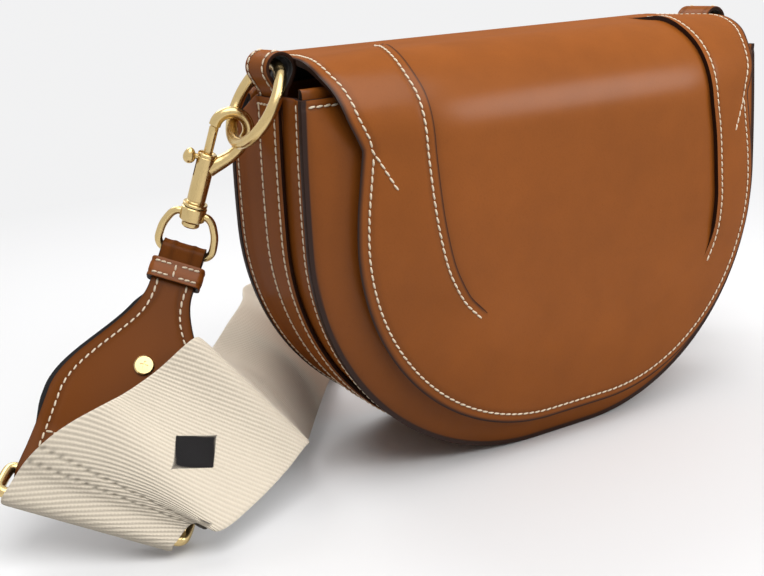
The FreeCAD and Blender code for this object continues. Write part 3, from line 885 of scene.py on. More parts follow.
def leathered(piece, thickness, body, *nodes, back="suede", face="leather", rim="edge", rounding=0.35):
    """Gives a surface its thickness: the face, the painted rim and the reverse."""
    for finish in (face, rim, back):
        piece.data.materials.append(finish_named(finish))
    modified(piece, "SOLIDIFY", thickness=thickness * MM, offset=-1.0, material_offset=2,
             material_offset_rim=1)
    if rounding:
        modified(piece, "BEVEL", width=rounding * MM, segments=2, limit_method="ANGLE",
                 angle_limit=radians(55.0), use_clamp_overlap=True)
    only(piece)
    bpy.ops.object.shade_smooth_by_angle(angle=radians(45.0))
    moved(piece, body)
    if nodes:
        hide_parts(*nodes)


def stitch_shape():
    """One stitch along X: a plump bead whose ends dive into the leather."""
    piece = added("uv_sphere", segments=8, ring_count=6, radius=1.0, rotation=(0, pi / 2, 0))
    bpy.ops.object.transform_apply(rotation=True)
    points = np.array([vertex.co for vertex in piece.data.vertices])
    faces = [tuple(face.vertices) for face in piece.data.polygons]
    bpy.data.objects.remove(piece)
    points[:, 0] = np.sign(points[:, 0]) * np.abs(points[:, 0]) ** 0.8
    points[:, 2] -= 0.7 * points[:, 0] ** 6
    return points, faces


STITCH = stitch_shape()
STITCH_HALF = 0.56
STITCH_RISE = 0.08
STITCH_SWAY = 2.5
STITCH_SCATTER = 12.9898


def stitched(name, rows, body, pitch=None, slant=7.0, width=0.41, height=0.36, share=0.42, finish="thread"):
    """Rows of saddle stitches, each a line of points with the leather's outward direction or directions."""
    pitch = pitch or bpy.context.scene.handbag_leather.stitch_pitch / MM
    shape, faces = STITCH
    points = []
    all_faces = []
    for line, outward in rows:
        outward = np.atleast_2d(outward)
        count = max(1, round(lengths(line)[-1] / pitch))
        for k in range(count):
            middle = (k + 0.5) / count
            half = share / count
            start, centre, end = along(line, [middle - half, middle, middle + half])
            normal = along(outward, [middle])[0] if len(outward) == len(line) else outward[0]
            length = np.linalg.norm(end - start)
            run = (end - start) / length
            normal = unit(normal - run * normal.dot(run))
            side = np.cross(normal, run)
            lean = radians(slant + STITCH_SWAY * sin(k * STITCH_SCATTER))
            run, side = run * cos(lean) + side * sin(lean), side * cos(lean) - run * sin(lean)
            base = len(points) * len(shape)
            sized = shape * (length * STITCH_HALF, width, height) + (0, 0, STITCH_RISE)
            points.append(centre + sized[:, :1] * run + sized[:, 1:2] * side + sized[:, 2:] * normal)
            all_faces += [tuple(base + corner for corner in face) for face in faces]
    mesh = bpy.data.meshes.new(name)
    mesh.from_pydata((np.vstack(points) * MM).tolist(), [], all_faces)
    piece = only(linked(name, mesh))
    bpy.ops.object.shade_smooth()
    dressed(piece, finish, body)


# Outline of the body seen from the front
def side_x(inset, level):
    radius = ((BODY_HEIGHT - CORNER_RADIUS) ** 2 + SIDE_TAPER ** 2) / (2 * SIDE_TAPER)
    return HALF_WIDTH - radius + np.sqrt((radius - inset) ** 2 - (level - CORNER_RADIUS) ** 2)


def body_corner(inset, first, last, count):
    """Lower right corner between two turns in degrees."""
    angles = np.radians(np.linspace(first, last, count))
    radius = CORNER_RADIUS - inset
    return np.stack([FLAT_HALF + radius * np.cos(angles), CORNER_RADIUS - radius * np.sin(angles)], axis=1)


def body_flank(inset, top, turn=90.0):
    """Right side from the top down to the foot, or to a turn of the corner in degrees."""
    levels = np.linspace(top, CORNER_RADIUS, 40, endpoint=False)
    side = np.stack([side_x(inset, levels), levels], axis=1)
    return np.vstack([side, body_corner(inset, 0, turn, 60)])


def mirrored(line):
    return line * (-1.0, 1.0)


def body_round(inset, top):
    """Whole outline from the top left, under the bag, to the top right."""
    right = body_flank(inset, top)
    return np.vstack([mirrored(right), right[::-1]])


def panel_grid(inset, top, rows, columns):
    """Grid over the body's front view."""
    flank = body_flank(inset, top, 45.0)
    corner = body_corner(inset, 45, 90, 40)
    foot = np.vstack([mirrored(corner), corner[::-1]])
    brow = np.array([mirrored(flank)[0], flank[0]])
    return patch(brow, foot, mirrored(flank), flank, eased(columns), eased(rows))


OUTLINE = spaced(body_round(0.0, BODY_HEIGHT), 500)


def front_rise(points):
    """How far the padded front stands out at points of the front view."""
    rim = gap_to(OUTLINE, points)
    swell = 1 - (1 - np.clip((rim - EDGE_BAND) / (CROWN_RIM - EDGE_BAND), 0, 1)) ** 2.3
    return FRONT_CROWN * swell * step(0.0, 20.0, BODY_HEIGHT - points[..., 1]), rim


def upright(points, depth):
    """Points of the front view at these depths."""
    return np.stack([points[..., 0], np.broadcast_to(depth, points.shape[:-1]), points[..., 1]], axis=-1)


def drooped(points):
    """Lets the mouth sink at its two back corners."""
    x, y, z = [points[..., k] for k in range(3)]
    drop = MOUTH_DROP * step(*DROP_DEPTHS, y) * step(*DROP_SIDES, np.abs(x)) * step(DROP_FOOT, BODY_HEIGHT, z)
    return np.stack([x, y, z - drop], axis=-1)


# Flap surface
def flap_foot(low, high):
    """Right part of the lower edge on the unrolled flap, between two turns of the corner."""
    radius = CORNER_RADIUS - FLAP_INSET
    angles = np.radians(np.linspace(low, high, 40))
    reach = UPRIGHT - CORNER_RADIUS + radius * np.sin(angles)
    return np.stack([FLAT_HALF + radius * np.cos(angles), reach], axis=1)


def flap_edge():
    """Right edge on the unrolled flap, from the hinge to a turn of 45 degrees at the corner."""
    top = spaced(np.array([(WING[0][0], HEEL), WING[0]]), 30)
    return np.vstack([top[:-1], flowing(WING, 8)[:-1], flowing(HIP, 8), flap_foot(0, 45)])


DART_FOOT = tuple(flap_foot(DART_TURN, DART_TURN)[0])
DARTS = {-1.0: flowing(LEFT_DART + (DART_FOOT,), 10), 1.0: flowing(RIGHT_DART + (DART_FOOT,), 10)}
FLAP_EDGE = flap_edge()
RIGHT_RIM = np.vstack([FLAP_EDGE, flap_foot(45, 90)])
FLAP_RIM = spaced(np.vstack([mirrored(RIGHT_RIM), RIGHT_RIM[::-1]]), 700)


def flap_section(reach):
    """Depth, height and outward direction of the bent section at an unrolled distance."""
    front = np.clip(-reach / FLAP_FRONT_RADIUS, 0, pi / 2)
    back = np.clip((REAR - reach) / FLAP_BACK_RADIUS, 0, pi / 2)
    flat = np.clip(BROW - reach, 0, TOP_RUN)
    y = FLAP_FRONT + FLAP_FRONT_RADIUS * (1 - np.cos(front)) + flat + FLAP_BACK_RADIUS * np.sin(back)
    z = UPRIGHT - np.maximum(reach, 0) + FLAP_FRONT_RADIUS * np.sin(front)
    z = z - FLAP_BACK_RADIUS * (1 - np.cos(back))
    out_y = np.where(reach > BROW, -np.cos(front), np.sin(back))
    out_z = np.where(reach > BROW, np.sin(front), np.cos(back))
    return y, z, out_y, out_z


def flap_lift(points, wing):
    """Swell of the leather from its plain section; wing is 1 where the wing laps over the dart."""
    crown = bpy.context.scene.handbag_leather.flap_crown / MM
    inset = bpy.context.scene.handbag_leather.stitch_inset / MM
    x, reach = points[..., 0], points[..., 1]
    rim = gap_to(FLAP_RIM, points)
    folded = np.stack([np.abs(x), reach], axis=-1)
    dart = np.where(x < 0, *[gap_to(line[line[:, 1] < DART_END + 1], folded) for line in DARTS.values()])
    front = step(*SWELL_ONSET, reach)
    swell = 1 - (1 - np.clip(rim / CROWN_REACH, 0, 1)) ** 2
    lift = front * (crown * swell - crown / 2)
    taper = step(DART_END + 0.5, DART_END - 16.0, reach) * step(DART_TOP - 8, DART_TOP + 26, reach)
    lift = lift + wing * taper * (DART_HEIGHT * fading(dart, 15.0) + groove(dart, DART_GROOVE, 0.9, 0.3))
    lift = lift - (1 - wing) * taper * 0.5 * fading(dart, 9.0)
    lift = lift + BULGE_HEIGHT * fading((x - BULGE[0]) ** 2 + (reach - BULGE[1]) ** 2, BULGE_SPREAD)
    lift = lift + groove(rim, inset, 1.0, 0.35) - 0.35 * fading(rim, 1.6)
    # Painted shade, partly real crease: darker in the stitch grooves, at the cut edge, and on the middle
    # beside the dart where the wing's lap shades it
    pressed = bell(rim, inset, 1.1) + wing * taper * bell(dart, DART_GROOVE, 1.0)
    pressed = pressed + 0.8 * fading(rim, 0.9) + (1 - wing) * taper * 0.9 * fading(dart, 1.6)
    return lift, np.clip(pressed, 0, 1)


def wing_share(points):
    """1 where a point lies outside the dart on its side."""
    edges = [np.interp(points[..., 1], line[:, 1], line[:, 0]) for line in DARTS.values()]
    return (np.abs(points[..., 0]) > np.where(points[..., 0] < 0, *edges)).astype(float)


def flap_points(points, lift):
    y, z, out_y, out_z = flap_section(points[..., 1])
    return np.stack([points[..., 0], y + out_y * lift, z + out_z * lift], axis=-1)


def flap_grids(rows, wing_columns, middle_columns):
    """Unrolled grids of the left wing, the middle and the right wing."""
    down = eased(rows, 1.25)
    across = eased(wing_columns, 1.5)
    wings = []
    edge = np.vstack([FLAP_EDGE, flap_foot(45, DART_TURN)[1:]])
    for line in DARTS.values():
        top = np.array([line[0], edge[0]])
        wings.append(patch(top, np.array([line[-1], edge[-1]]), line, edge, across, down))
    corner = flap_foot(DART_TURN, 90)
    sides = mirrored(DARTS[-1.0]), DARTS[1.0]
    foot = np.vstack([mirrored(corner), corner[::-1]])
    top = np.array([sides[0][0], sides[1][0]])
    middle = patch(top, foot, *sides, eased(middle_columns, 1.3), down)
    return mirrored(wings[0][:, ::-1]), middle, wings[1]


def flap_line(points, wing):
    """Line of unrolled points on the flap, with its outward directions."""
    lift = flap_lift(points, wing)[0]
    nudge = 0.4
    here = flap_points(points, lift)
    sideways = flap_points(points + (nudge, 0), flap_lift(points + (nudge, 0), wing)[0]) - here
    downward = flap_points(points + (0, nudge), flap_lift(points + (0, nudge), wing)[0]) - here
    outward = unit(np.cross(downward, sideways))
    out_y, out_z = flap_section(points[:, 1])[2:]
    facing = outward[:, 1] * out_y + outward[:, 2] * out_z
    return here, outward * np.sign(facing)[:, None]


class HANDBAG_OT_flap(bpy.types.Operator):
    """Crowned leather flap with lapped darts, its lining and its stitching"""

    bl_idname = "handbag.flap"
    bl_label = "Flap"

    def execute(self, context):
        left, middle, right = flap_grids(170, 26, 84)
        grids = []
        press_and_shade_grids = []
        for grid, wing in ((left, 1.0), (middle, 0.0), (right, 1.0)):
            lift, pressed = flap_lift(grid, wing)
            grids.append(flap_points(grid, lift))
            press_and_shade_grids.append(pressed)
        whole = np.hstack(grids)
        marks = np.zeros((whole.shape[0] - 1, whole.shape[1] - 1), int)
        reach = left[:, -1, 1]
        last = left.shape[1] - 1
        # Edge paint on the walls of both darts; the middle's first strip beside the left dart gets it too, as
        # painted shadow of the gap under the lap
        for seam in (last, last + 1, last + middle.shape[1]):
            marks[:, seam] = ((reach < DART_END - 1) & (reach > DART_TOP))[:-1]
        # Dark band round the rim: edge paint rolled over it, widened as painted shade of the edge; along the
        # left dart the wing's last two columns darken as painted shadow of the lap
        painted = step(1.7, 0.3, gap_to(FLAP_RIM, np.hstack([left, middle, right])))
        lapped = step(DART_END + 1, DART_END - 3, reach) * step(DART_TOP - 10, DART_TOP + 6, reach)
        painted[:, last] = lapped
        painted[:, last - 1] = lapped * 0.7
        piece = surfaced("flap_leather", whole, np.hstack(press_and_shade_grids), marks, flip=True, painted=painted)
        merged(piece, WELD)
        leathered(piece, FLAP_THICKNESS, "flap", "flap", back="edge", rounding=0.3)
        tidy(piece, 45.0)
        self.line_flap()
        self.sew_flap(context)
        return {"FINISHED"}

    def line_flap(self):
        left, middle, right = flap_grids(90, 12, 40)
        whole = np.hstack([left[:, :-1], middle, right[:, 1:]])
        drawn_in = 2.0 * fading(gap_to(FLAP_RIM, whole), 8.0)
        whole = whole + unit(np.array(FLAP_MIDDLE) - whole) * drawn_in[..., None]
        lift = flap_lift(whole, 0.0)[0]
        sheet = surfaced("flap_suede", flap_points(whole, lift - FLAP_THICKNESS - 0.05), flip=True)
        merged(sheet, WELD)
        leathered(sheet, THICKNESS["flap_lining"], "flap", "flap_lining", face="suede", rim="suede",
                  rounding=0)

    def sew_flap(self, context):
        edge = spaced(RIGHT_RIM, 500)
        reach = edge[:, 1]
        run = edge - beside(edge) * (context.scene.handbag_leather.stitch_inset / MM)
        upper = run[(reach < NOTCH[1] - 2.5) & (reach > BROW - 30)]
        lower = run[reach > NOTCH[1] + 1.5]
        tail = spaced(np.array([upper[-1], *SEAM_TAIL]), 20)
        upper = spaced(np.vstack([upper, tail[1:]]), 160)
        lower = np.vstack([lower, mirrored(lower)[::-1]])
        rows = [flap_line(lower, wing_share(lower)), flap_line(upper, 1.0), flap_line(mirrored(upper), 1.0)]
        for side, line in DARTS.items():
            dart = line[(line[:, 1] < DART_END + 0.5) & (line[:, 1] > DART_TOP + 6)]
            dart = dart + beside(dart) * DART_SEAM
            rows.append(flap_line(spaced(dart, 160) * (side, 1.0), 1.0))
        stitched("flap_stitching", rows, "flap")


class HANDBAG_OT_body(bpy.types.Operator):
    """Padded front, back, gusset and centre strap of the body, with their stitching"""

    bl_idname = "handbag.body"
    bl_label = "Body"

    def execute(self, context):
        inset = context.scene.handbag_leather.stitch_inset / MM
        self.front()
        self.back(inset)
        self.gusset()
        self.strap()
        self.root(inset)
        self.padding()
        for node in ("front_board", "back_board"):
            coated(frame["nodes"][node], "board")
        return {"FINISHED"}

    def front(self):
        seam = 2.4
        grid = panel_grid(0.0, BODY_HEIGHT, 120, 140)
        rise, rim = front_rise(grid)
        top = BODY_HEIGHT - grid[..., 1]
        face = upright(grid, -HALF_DEPTH - rise - groove(top, seam, 1.0, 0.25))
        # Painted shade, partly creased leather: darker in the crease beside the edge band and along the top
        # stitching
        pressed = fading(np.abs(rim - EDGE_BAND), 1.6) + bell(top, seam, 1.1)
        painted = step(EDGE_BAND + 0.3, EDGE_BAND - 0.3, rim)
        piece = surfaced("front_leather", face, np.clip(pressed, 0, 1), flip=True, painted=painted)
        leathered(piece, THICKNESS["panel"], "bag", "front_panel")
        line = np.stack([np.linspace(-106, 106, 200), np.full(200, BODY_HEIGHT - seam)], axis=1)
        row = upright(line, -HALF_DEPTH - front_rise(line)[0])
        stitched("front_top_stitching", [(row, (0.0, -1.0, 0.1))], "bag")

    def back(self, inset):
        grid = panel_grid(0.0, BODY_HEIGHT, 80, 90)
        rim = gap_to(OUTLINE, grid)
        swell = 1 - (1 - np.clip((rim - 6.0) / 40.0, 0, 1)) ** 2
        swell = swell * step(118.0, 95.0, grid[..., 1])
        depth = HALF_DEPTH + BACK_CROWN * swell + groove(rim, inset, 1.0, 0.3)
        piece = surfaced("back_leather", drooped(upright(grid, depth)), press_and_shade_at(rim, inset, 1.1, 1.2))
        leathered(piece, THICKNESS["panel"], "bag", "back_panel")
        run = spaced(body_round(inset, BODY_HEIGHT - 2.0), 400)
        stitched("back_stitching", [(drooped(upright(run, HALF_DEPTH)), (0.0, 1.0, 0.0))], "bag")

    def band(self, insets, across, top=BODY_HEIGHT):
        """Grid round the outline at an inset for each depth across."""
        rows = [upright(spaced(body_round(inset, top), 240), y) for y, inset in zip(across, insets)]
        return drooped(np.stack(rows, axis=1))

    def gusset(self):
        edge = INNER_FACE - 0.05
        across = np.concatenate([np.linspace(-edge, -22, 14), np.linspace(-20, 20, 21),
                                 np.linspace(22, edge, 14)])
        away = np.abs(across)
        insets = GUSSET_SETBACK - 1.5 * step(21.5, 26.5, away) + 0.5 * np.cos(across / 22.0 * pi / 2)
        grid = self.band(insets + 0.2 * bell(away, GUSSET_SEAM, 0.8), across)
        # Painted shade, partly creased leather: darker at the stitching and the panel joints, and as painted
        # shadow beside the centre strap's lower edge
        pressed = bell(away, GUSSET_SEAM, 1.0) + fading(INNER_FACE - away, 1.0)
        pressed = pressed + 0.9 * fading(np.abs(across - STRAP_LOW), 2.0)
        piece = surfaced("gusset_leather", grid, np.clip(pressed, 0, 1))
        leathered(piece, THICKNESS["gusset"], "bag", "gusset")
        self.sew_round("gusset_stitching", 0.55, (-GUSSET_SEAM, GUSSET_SEAM))

    def sew_round(self, name, inset, depths, top=BODY_HEIGHT - 1.5):
        outer = spaced(body_round(inset - 0.5, top), 400)
        line = spaced(body_round(inset, top), 400)
        stitched(name, [(drooped(upright(line, y)), upright(outer - line, 0.0)) for y in depths], "bag")

    def strap(self):
        seam = 3.0
        across = np.concatenate([np.linspace(STRAP_LOW, STRAP_LOW + 5, 9),
                                 np.linspace(STRAP_LOW + 6, STRAP_HIGH - 6, 6),
                                 np.linspace(STRAP_HIGH - 5, STRAP_HIGH, 9)])
        rim = np.minimum(across - STRAP_LOW, STRAP_HIGH - across)
        insets = 0.25 * bell(rim, seam, 0.8) + 0.3 * fading(rim, 0.7)
        grid = self.band(insets, across, BODY_HEIGHT - 0.4)
        piece = surfaced("centre_strap", grid, press_and_shade_at(rim, seam, reach=0.8))
        leathered(piece, THICKNESS["centre_strap"], "bag", "gusset_strap")
        self.sew_round("strap_stitching", 0.1, (STRAP_LOW + seam, STRAP_HIGH - seam), BODY_HEIGHT - 3.0)
        y = np.linspace(STRAP_LOW + 1.5, STRAP_HIGH - 1.5, 30)
        level = np.full(30, BODY_HEIGHT - 3.2)
        x = side_x(0.1, level)
        rows = [(np.stack([sign * x, y, level], axis=1), (sign, 0.0, 0.0)) for sign in SIGNS.values()]
        stitched("strap_end_stitching", rows, "bag")

    def root(self, inset):
        face = HALF_DEPTH + 2.0
        grid = flat_grid(np.linspace(-ROOT_HALF, ROOT_HALF, 80), np.linspace(ROOT_TOP, ROOT_FOOT, 24))
        rim = np.minimum(ROOT_HALF - np.abs(grid[..., 0]), grid[..., 1] - ROOT_FOOT)
        sunk = upright(grid, face + groove(rim, inset, 1.0, 0.25))
        piece = surfaced("flap_root_leather", sunk, press_and_shade_at(rim, inset, 1.1))
        leathered(piece, THICKNESS["root"], "bag", "flap_root")
        seam = three_sides(ROOT_HALF - ROOT_SEAM, BODY_HEIGHT, ROOT_FOOT + ROOT_SEAM)
        row = upright(spaced(seam, 400), face)
        stitched("flap_root_stitching", [(row, (0.0, 1.0, 0.0))], "bag")

    def padding(self):
        gap = 8.0
        grid = panel_grid(gap, BODY_HEIGHT - gap, 40, 44)
        rise = np.maximum(front_rise(grid)[0] - 0.4, 0.1)
        piece = surfaced("front_foam", upright(grid, -INNER_FACE - 0.2 - rise))
        modified(piece, "SOLIDIFY", thickness=0.1 * MM, offset=-1.0)
        points = np.array([vertex.co for vertex in piece.data.vertices])
        points[len(points) // 2:] = upright(grid, -INNER_FACE - 0.15).reshape(-1, 3) * MM
        piece.data.vertices.foreach_set("co", points.ravel())
        piece.data.update()
        tidy(piece)
        dressed(piece, "foam", "bag", "front_padding")


class HANDBAG_OT_inside(bpy.types.Operator):
    """Lining, mouth facings and slip pocket"""

    bl_idname = "handbag.inside"
    bl_label = "Inside"

    def execute(self, context):
        self.lining()
        for name, measures in FACINGS.items():
            self.facing(name, *measures)
        self.pocket()
        return {"FINISHED"}

    def lining(self):
        top = BODY_HEIGHT - 1.6
        wall = panel_grid(LINING_INSET, top, 40, 44)
        x, z = wall[..., 0], wall[..., 1]
        ripple = 0.5 * np.sin(x / 17.0) * np.sin(z / 23.0 + x / 60.0)
        rim = np.clip(gap_to(spaced(body_round(LINING_INSET, top), 400), wall) / 20.0, 0, 1)
        slack = rim * np.clip((top - z) / 25.0, 0, 1) * (0.6 + ripple)
        front = surfaced("suede_front", upright(wall, slack - LINING_DEPTH), flip=True)
        back = surfaced("suede_back", drooped(upright(wall, LINING_DEPTH - slack)))
        rows = [upright(spaced(body_round(LINING_INSET + 0.5 * sin(k * 1.3) ** 2, top), 160), y)
                for k, y in enumerate(np.linspace(-LINING_DEPTH, LINING_DEPTH, 14))]
        side = surfaced("suede_side", drooped(np.stack(rows, axis=1)), flip=True)
        piece = merged(joined("lining_suede", [front, back, side]), 0.6)
        leathered(piece, THICKNESS["lining"], "bag", "lining_front", "lining_back", "lining_band",
                  face="suede", rim="suede", rounding=0)

    def facing(self, name, sign, half, rise):
        """Leather strip folded over the top edge of one wall and down its inside."""
        section = [(depth, BODY_HEIGHT + rise + over) for depth, over in FACING_FOLD]
        section += [(FACING_DEPTH, BODY_HEIGHT - drop) for drop in FACING_DROPS]
        line = spaced(flowing(section, 8), 50)
        x = np.linspace(-half, half, 90)
        foot = line[-1, 1]
        rim = np.minimum(line[:, 1:] - foot, half - np.abs(x)[None, :])
        depth = line[:, :1] - groove(rim, INNER_SEAM, 0.9, 0.25)
        grid = drooped(np.stack(np.broadcast_arrays(x[None, :], sign * depth, line[:, 1:]), axis=-1))
        piece = surfaced(name + "_leather", grid, press_and_shade_at(rim, INNER_SEAM), flip=sign > 0)
        leathered(piece, THICKNESS["facing"], "bag", name)
        row = spaced(three_sides(half - INNER_SEAM, BODY_HEIGHT - INNER_SEAM, foot + INNER_SEAM), 300)
        stitched(name + "_stitching", [(upright(row, sign * FACING_DEPTH), (0.0, -sign, 0.0))], "bag")

    def pocket(self):
        grid = flat_grid(np.linspace(-POCKET_HALF, POCKET_HALF, 60), np.linspace(POCKET_TOP, POCKET_FOOT, 40))
        levels = grid[..., 1]
        rim = np.minimum(levels - POCKET_FOOT, POCKET_HALF - np.abs(grid[..., 0]))
        slack = np.clip(rim / 25.0, 0, 1) * (0.5 + 0.5 * step(60.0, POCKET_TOP, levels))
        face = upright(grid, POCKET_DEPTH - 1.1 * slack)
        piece = surfaced("pocket_leather", face, press_and_shade_at(rim, INNER_SEAM), flip=True)
        leathered(piece, THICKNESS["pocket"], "bag", "slip_pocket")
        half = POCKET_HALF - INNER_SEAM
        around = spaced(three_sides(half, POCKET_TOP - 1.0, POCKET_FOOT + INNER_SEAM), 300)
        hem = spaced([(x, POCKET_TOP - POCKET_HEM) for x in (-half, half)], 150)
        rows = [(upright(around, POCKET_DEPTH - 0.05), (0.0, -1.0, 0.0)),
                (upright(hem, POCKET_DEPTH - 1.0), (0.0, -1.0, 0.0))]
        stitched("pocket_stitching", rows, "bag")


class BothSides:
    """Makes the same pieces at the left and at the right."""

    def execute(self, context):
        for side in SIGNS:
            self.make(side)
        return {"FINISHED"}


class HANDBAG_OT_ring_tabs(BothSides, bpy.types.Operator):
    """Stitched leather loops that hold the side rings"""

    bl_idname = "handbag.ring_tabs"
    bl_label = "Ring tabs"

    def loop(self):
        """Outer line of the loop in its own plane, up the outside, over the ring and down the inside."""
        eye = 6.1
        outer = [(1.5, -24.0), (1.5, -18.0), (1.6, -12.0), (2.2, -8.6), (3.9, -5.6)]
        turns = np.radians(np.linspace(-32, 212, 25))
        over = [(eye * cos(turn), eye * sin(turn)) for turn in turns]
        inner = [(-x, z) for x, z in reversed(outer)]
        return spaced(flowing(outer + over + inner, 6), 130)

    def make(self, side):
        sign = SIGNS[side]
        line = self.loop()
        outward = beside(line)
        across = np.concatenate([np.linspace(0, 4, 8), np.linspace(5, 13, 6), np.linspace(14, TAB_WIDTH, 8)])
        rim = np.minimum(across, TAB_WIDTH - across)
        dip = groove(rim, TAB_SEAM, 0.8, 0.25) - 0.2 * fading(rim, 0.6)
        rows = [self.stood(line + outward * low, y, sign) for y, low in zip(across, dip)]
        grid = np.stack(rows, axis=1)
        pressed = press_and_shade_at(rim, TAB_SEAM, reach=0.8)
        piece = surfaced("ring_tab_leather_" + side, grid, pressed, flip=sign < 0)
        leathered(piece, THICKNESS["ring_tab"], "bag", "ring_tab_" + side)
        sewn = slice(24, 66)
        rows = []
        for y in (TAB_SEAM, TAB_WIDTH - TAB_SEAM):
            row = self.stood(line, y, sign)
            away = self.stood(line + outward, y, sign) - row
            rows.append((row[sewn], away[sewn]))
        stitched("ring_tab_stitching_" + side, rows, "bag")

    def stood(self, points, y, sign):
        depth = np.full(len(points), y - 3.0 - TAB_WIDTH / 2)
        return np.stack([sign * (TAB_EYE_X + points[:, 0]), depth, TAB_EYE_LEVEL + points[:, 1]], axis=1)


class HANDBAG_OT_side_rings(BothSides, bpy.types.Operator):
    """Brass rings at the sides, each with its closed seam"""

    bl_idname = "handbag.side_rings"
    bl_label = "Side rings"

    def make(self, side):
        ring = added("torus", major_segments=120, minor_segments=28, major_radius=RING_RADIUS * MM,
                     minor_radius=RING_WIRE * MM, rotation=(0, pi / 2, 0))
        bpy.ops.object.transform_apply(rotation=True)
        self.seam(ring)
        hinge = Vector(JOINTS["ring_" + side + "_swing"]["pos_m"])
        swing = radians(RING_SWING)
        place = standing(hinge, (-SIGNS[side] * sin(swing), 0, cos(swing)), (cos(swing), 0, 0))
        placed(ring, place @ Matrix.Translation((0, 0, (RING_SAG - RING_RADIUS) * MM)))
        ring.name = "ring_" + side
        only(ring)
        bpy.ops.object.shade_smooth()
        dressed(ring, "brass", "side_ring_" + side, "side_ring_" + side)

    def seam(self, ring):
        """Sinks the wire a little at the joint where the ring was closed."""
        for vertex in ring.data.vertices:
            turn = atan2(vertex.co.z, vertex.co.y)
            if abs(turn - 2.2) < 0.02:
                flat = Vector((0, vertex.co.y, vertex.co.z)).normalized() * (RING_RADIUS * MM)
                vertex.co = flat + (vertex.co - flat) * 0.9


class HANDBAG_OT_hooks(BothSides, bpy.types.Operator):
    """Brass snap hooks with their thumb bolts and springs"""

    bl_idname = "handbag.hooks"
    bl_label = "Snap hooks"

    def make(self, side):
        slide = JOINTS["thumb_bolt_" + side + "_slide"]
        up = -Vector(slide["axis"])
        tangent = Vector(JOINTS["hook_" + side + "_swing"]["axis"])
        tangent = (tangent - up * tangent.dot(up)).normalized()
        place = standing(Vector(slide["pos_m"]), up, tangent.cross(up))
        hook = dressed(placed(self.hook(), place), "brass", "hook_" + side, "hook_" + side)
        hook.name = "snap_hook_" + side
        bolt = dressed(placed(self.bolt(), place), "brass", "thumb_bolt_" + side, "thumb_bolt_" + side)
        bolt.name = "plunger_" + side
        spring = dressed(placed(self.spring(), place), "steel", "hook_" + side, "bolt_spring_" + side)
        spring.name = "plunger_spring_" + side
        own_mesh(spring)

    def hook(self):
        centre = Vector((BOW_RADIUS, 0, BOW_LEVEL))
        turns = np.radians(np.linspace(180, -20, 13))
        points = [centre + Vector((cos(turn), 0, sin(turn))) * BOW_RADIUS for turn in turns]
        shares = [1.0] * len(points)
        for x, z, share in BOW_STEM:
            points.append(Vector((x, 0, z)))
            shares.append(share)
        bow = wire("bow", points, BOW_WIRE, shares)
        barrel = cut_by(turned("barrel"), box_of(*BOLT_SLOT))
        return tidy(joined("snap_hook", [barrel, bow]), 40.0)

    def bolt(self):
        pin = turned("pin", 28)
        stem = wire("stem", BOLT_STEM, BOLT_STEM_WIRE, (1.0, 0.95, 1.1))
        knob = added("uv_sphere", segments=28, ring_count=18, radius=KNOB_RADIUS * MM)
        for vertex in knob.data.vertices:
            swell = 1.0 - 0.16 * vertex.co.z / (KNOB_RADIUS * MM)
            vertex.co.x *= 0.92 * swell
            vertex.co.y *= 0.95 * swell
            vertex.co.z *= 1.2
        placed(knob, Matrix.Translation(Vector(KNOB_PLACE) * MM))
        return tidy(joined("plunger", [pin, stem, knob]), 60.0)

    def spring(self):
        points = []
        for k in range(SPRING_POINTS):
            turn = k * tau / 8
            level = SPRING_FOOT + SPRING_RISE * k / (SPRING_POINTS - 1)
            points.append((SPRING_RADIUS * cos(turn), SPRING_RADIUS * sin(turn), level))
        return wire("plunger_spring", points, SPRING_WIRE, resolution=3)


class HANDBAG_OT_swivel_eyes(BothSides, bpy.types.Operator):
    """Brass collars that turn on the hooks, with the round eyes that the leather folds over"""

    bl_idname = "handbag.swivel_eyes"
    bl_label = "Swivel eyes"

    def make(self, side):
        slide = JOINTS["thumb_bolt_" + side + "_slide"]
        bar = Vector(JOINTS["strap_ring_" + side + "_pivot"]["axis"])
        place = standing(Vector(slide["pos_m"]), -Vector(slide["axis"]), bar)
        right = [Vector((x, 0, EYE_START - drop)) for x, drop in EYE_HALF]
        left = [Vector((-point.x, 0, point.z)) for point in right]
        collar = turned("collar")
        eye = wire("eye", left + [Vector((0, 0, EYE_LEVEL))] + right[::-1], EYE_WIRE)
        piece = tidy(joined("swivel_" + side, [collar, eye]), 40.0)
        dressed(placed(piece, place), "brass", "swivel_eye_" + side, "swivel_eye_" + side)


def tab_place(side):
    pivot = JOINTS["strap_tab_" + side + "_pivot"]
    up = -Vector(JOINTS["keeper_" + side + "_slide"]["axis"])
    bar = Vector(JOINTS["strap_ring_" + side + "_pivot"]["axis"])
    return standing(Vector(pivot["pos_m"]), up, bar)


def stood_in(place, points):
    """Points in millimetres of a piece's own axes, in the frame's millimetres."""
    turn = np.array(place.to_3x3())
    return points @ turn.T + np.array(place.translation) / MM


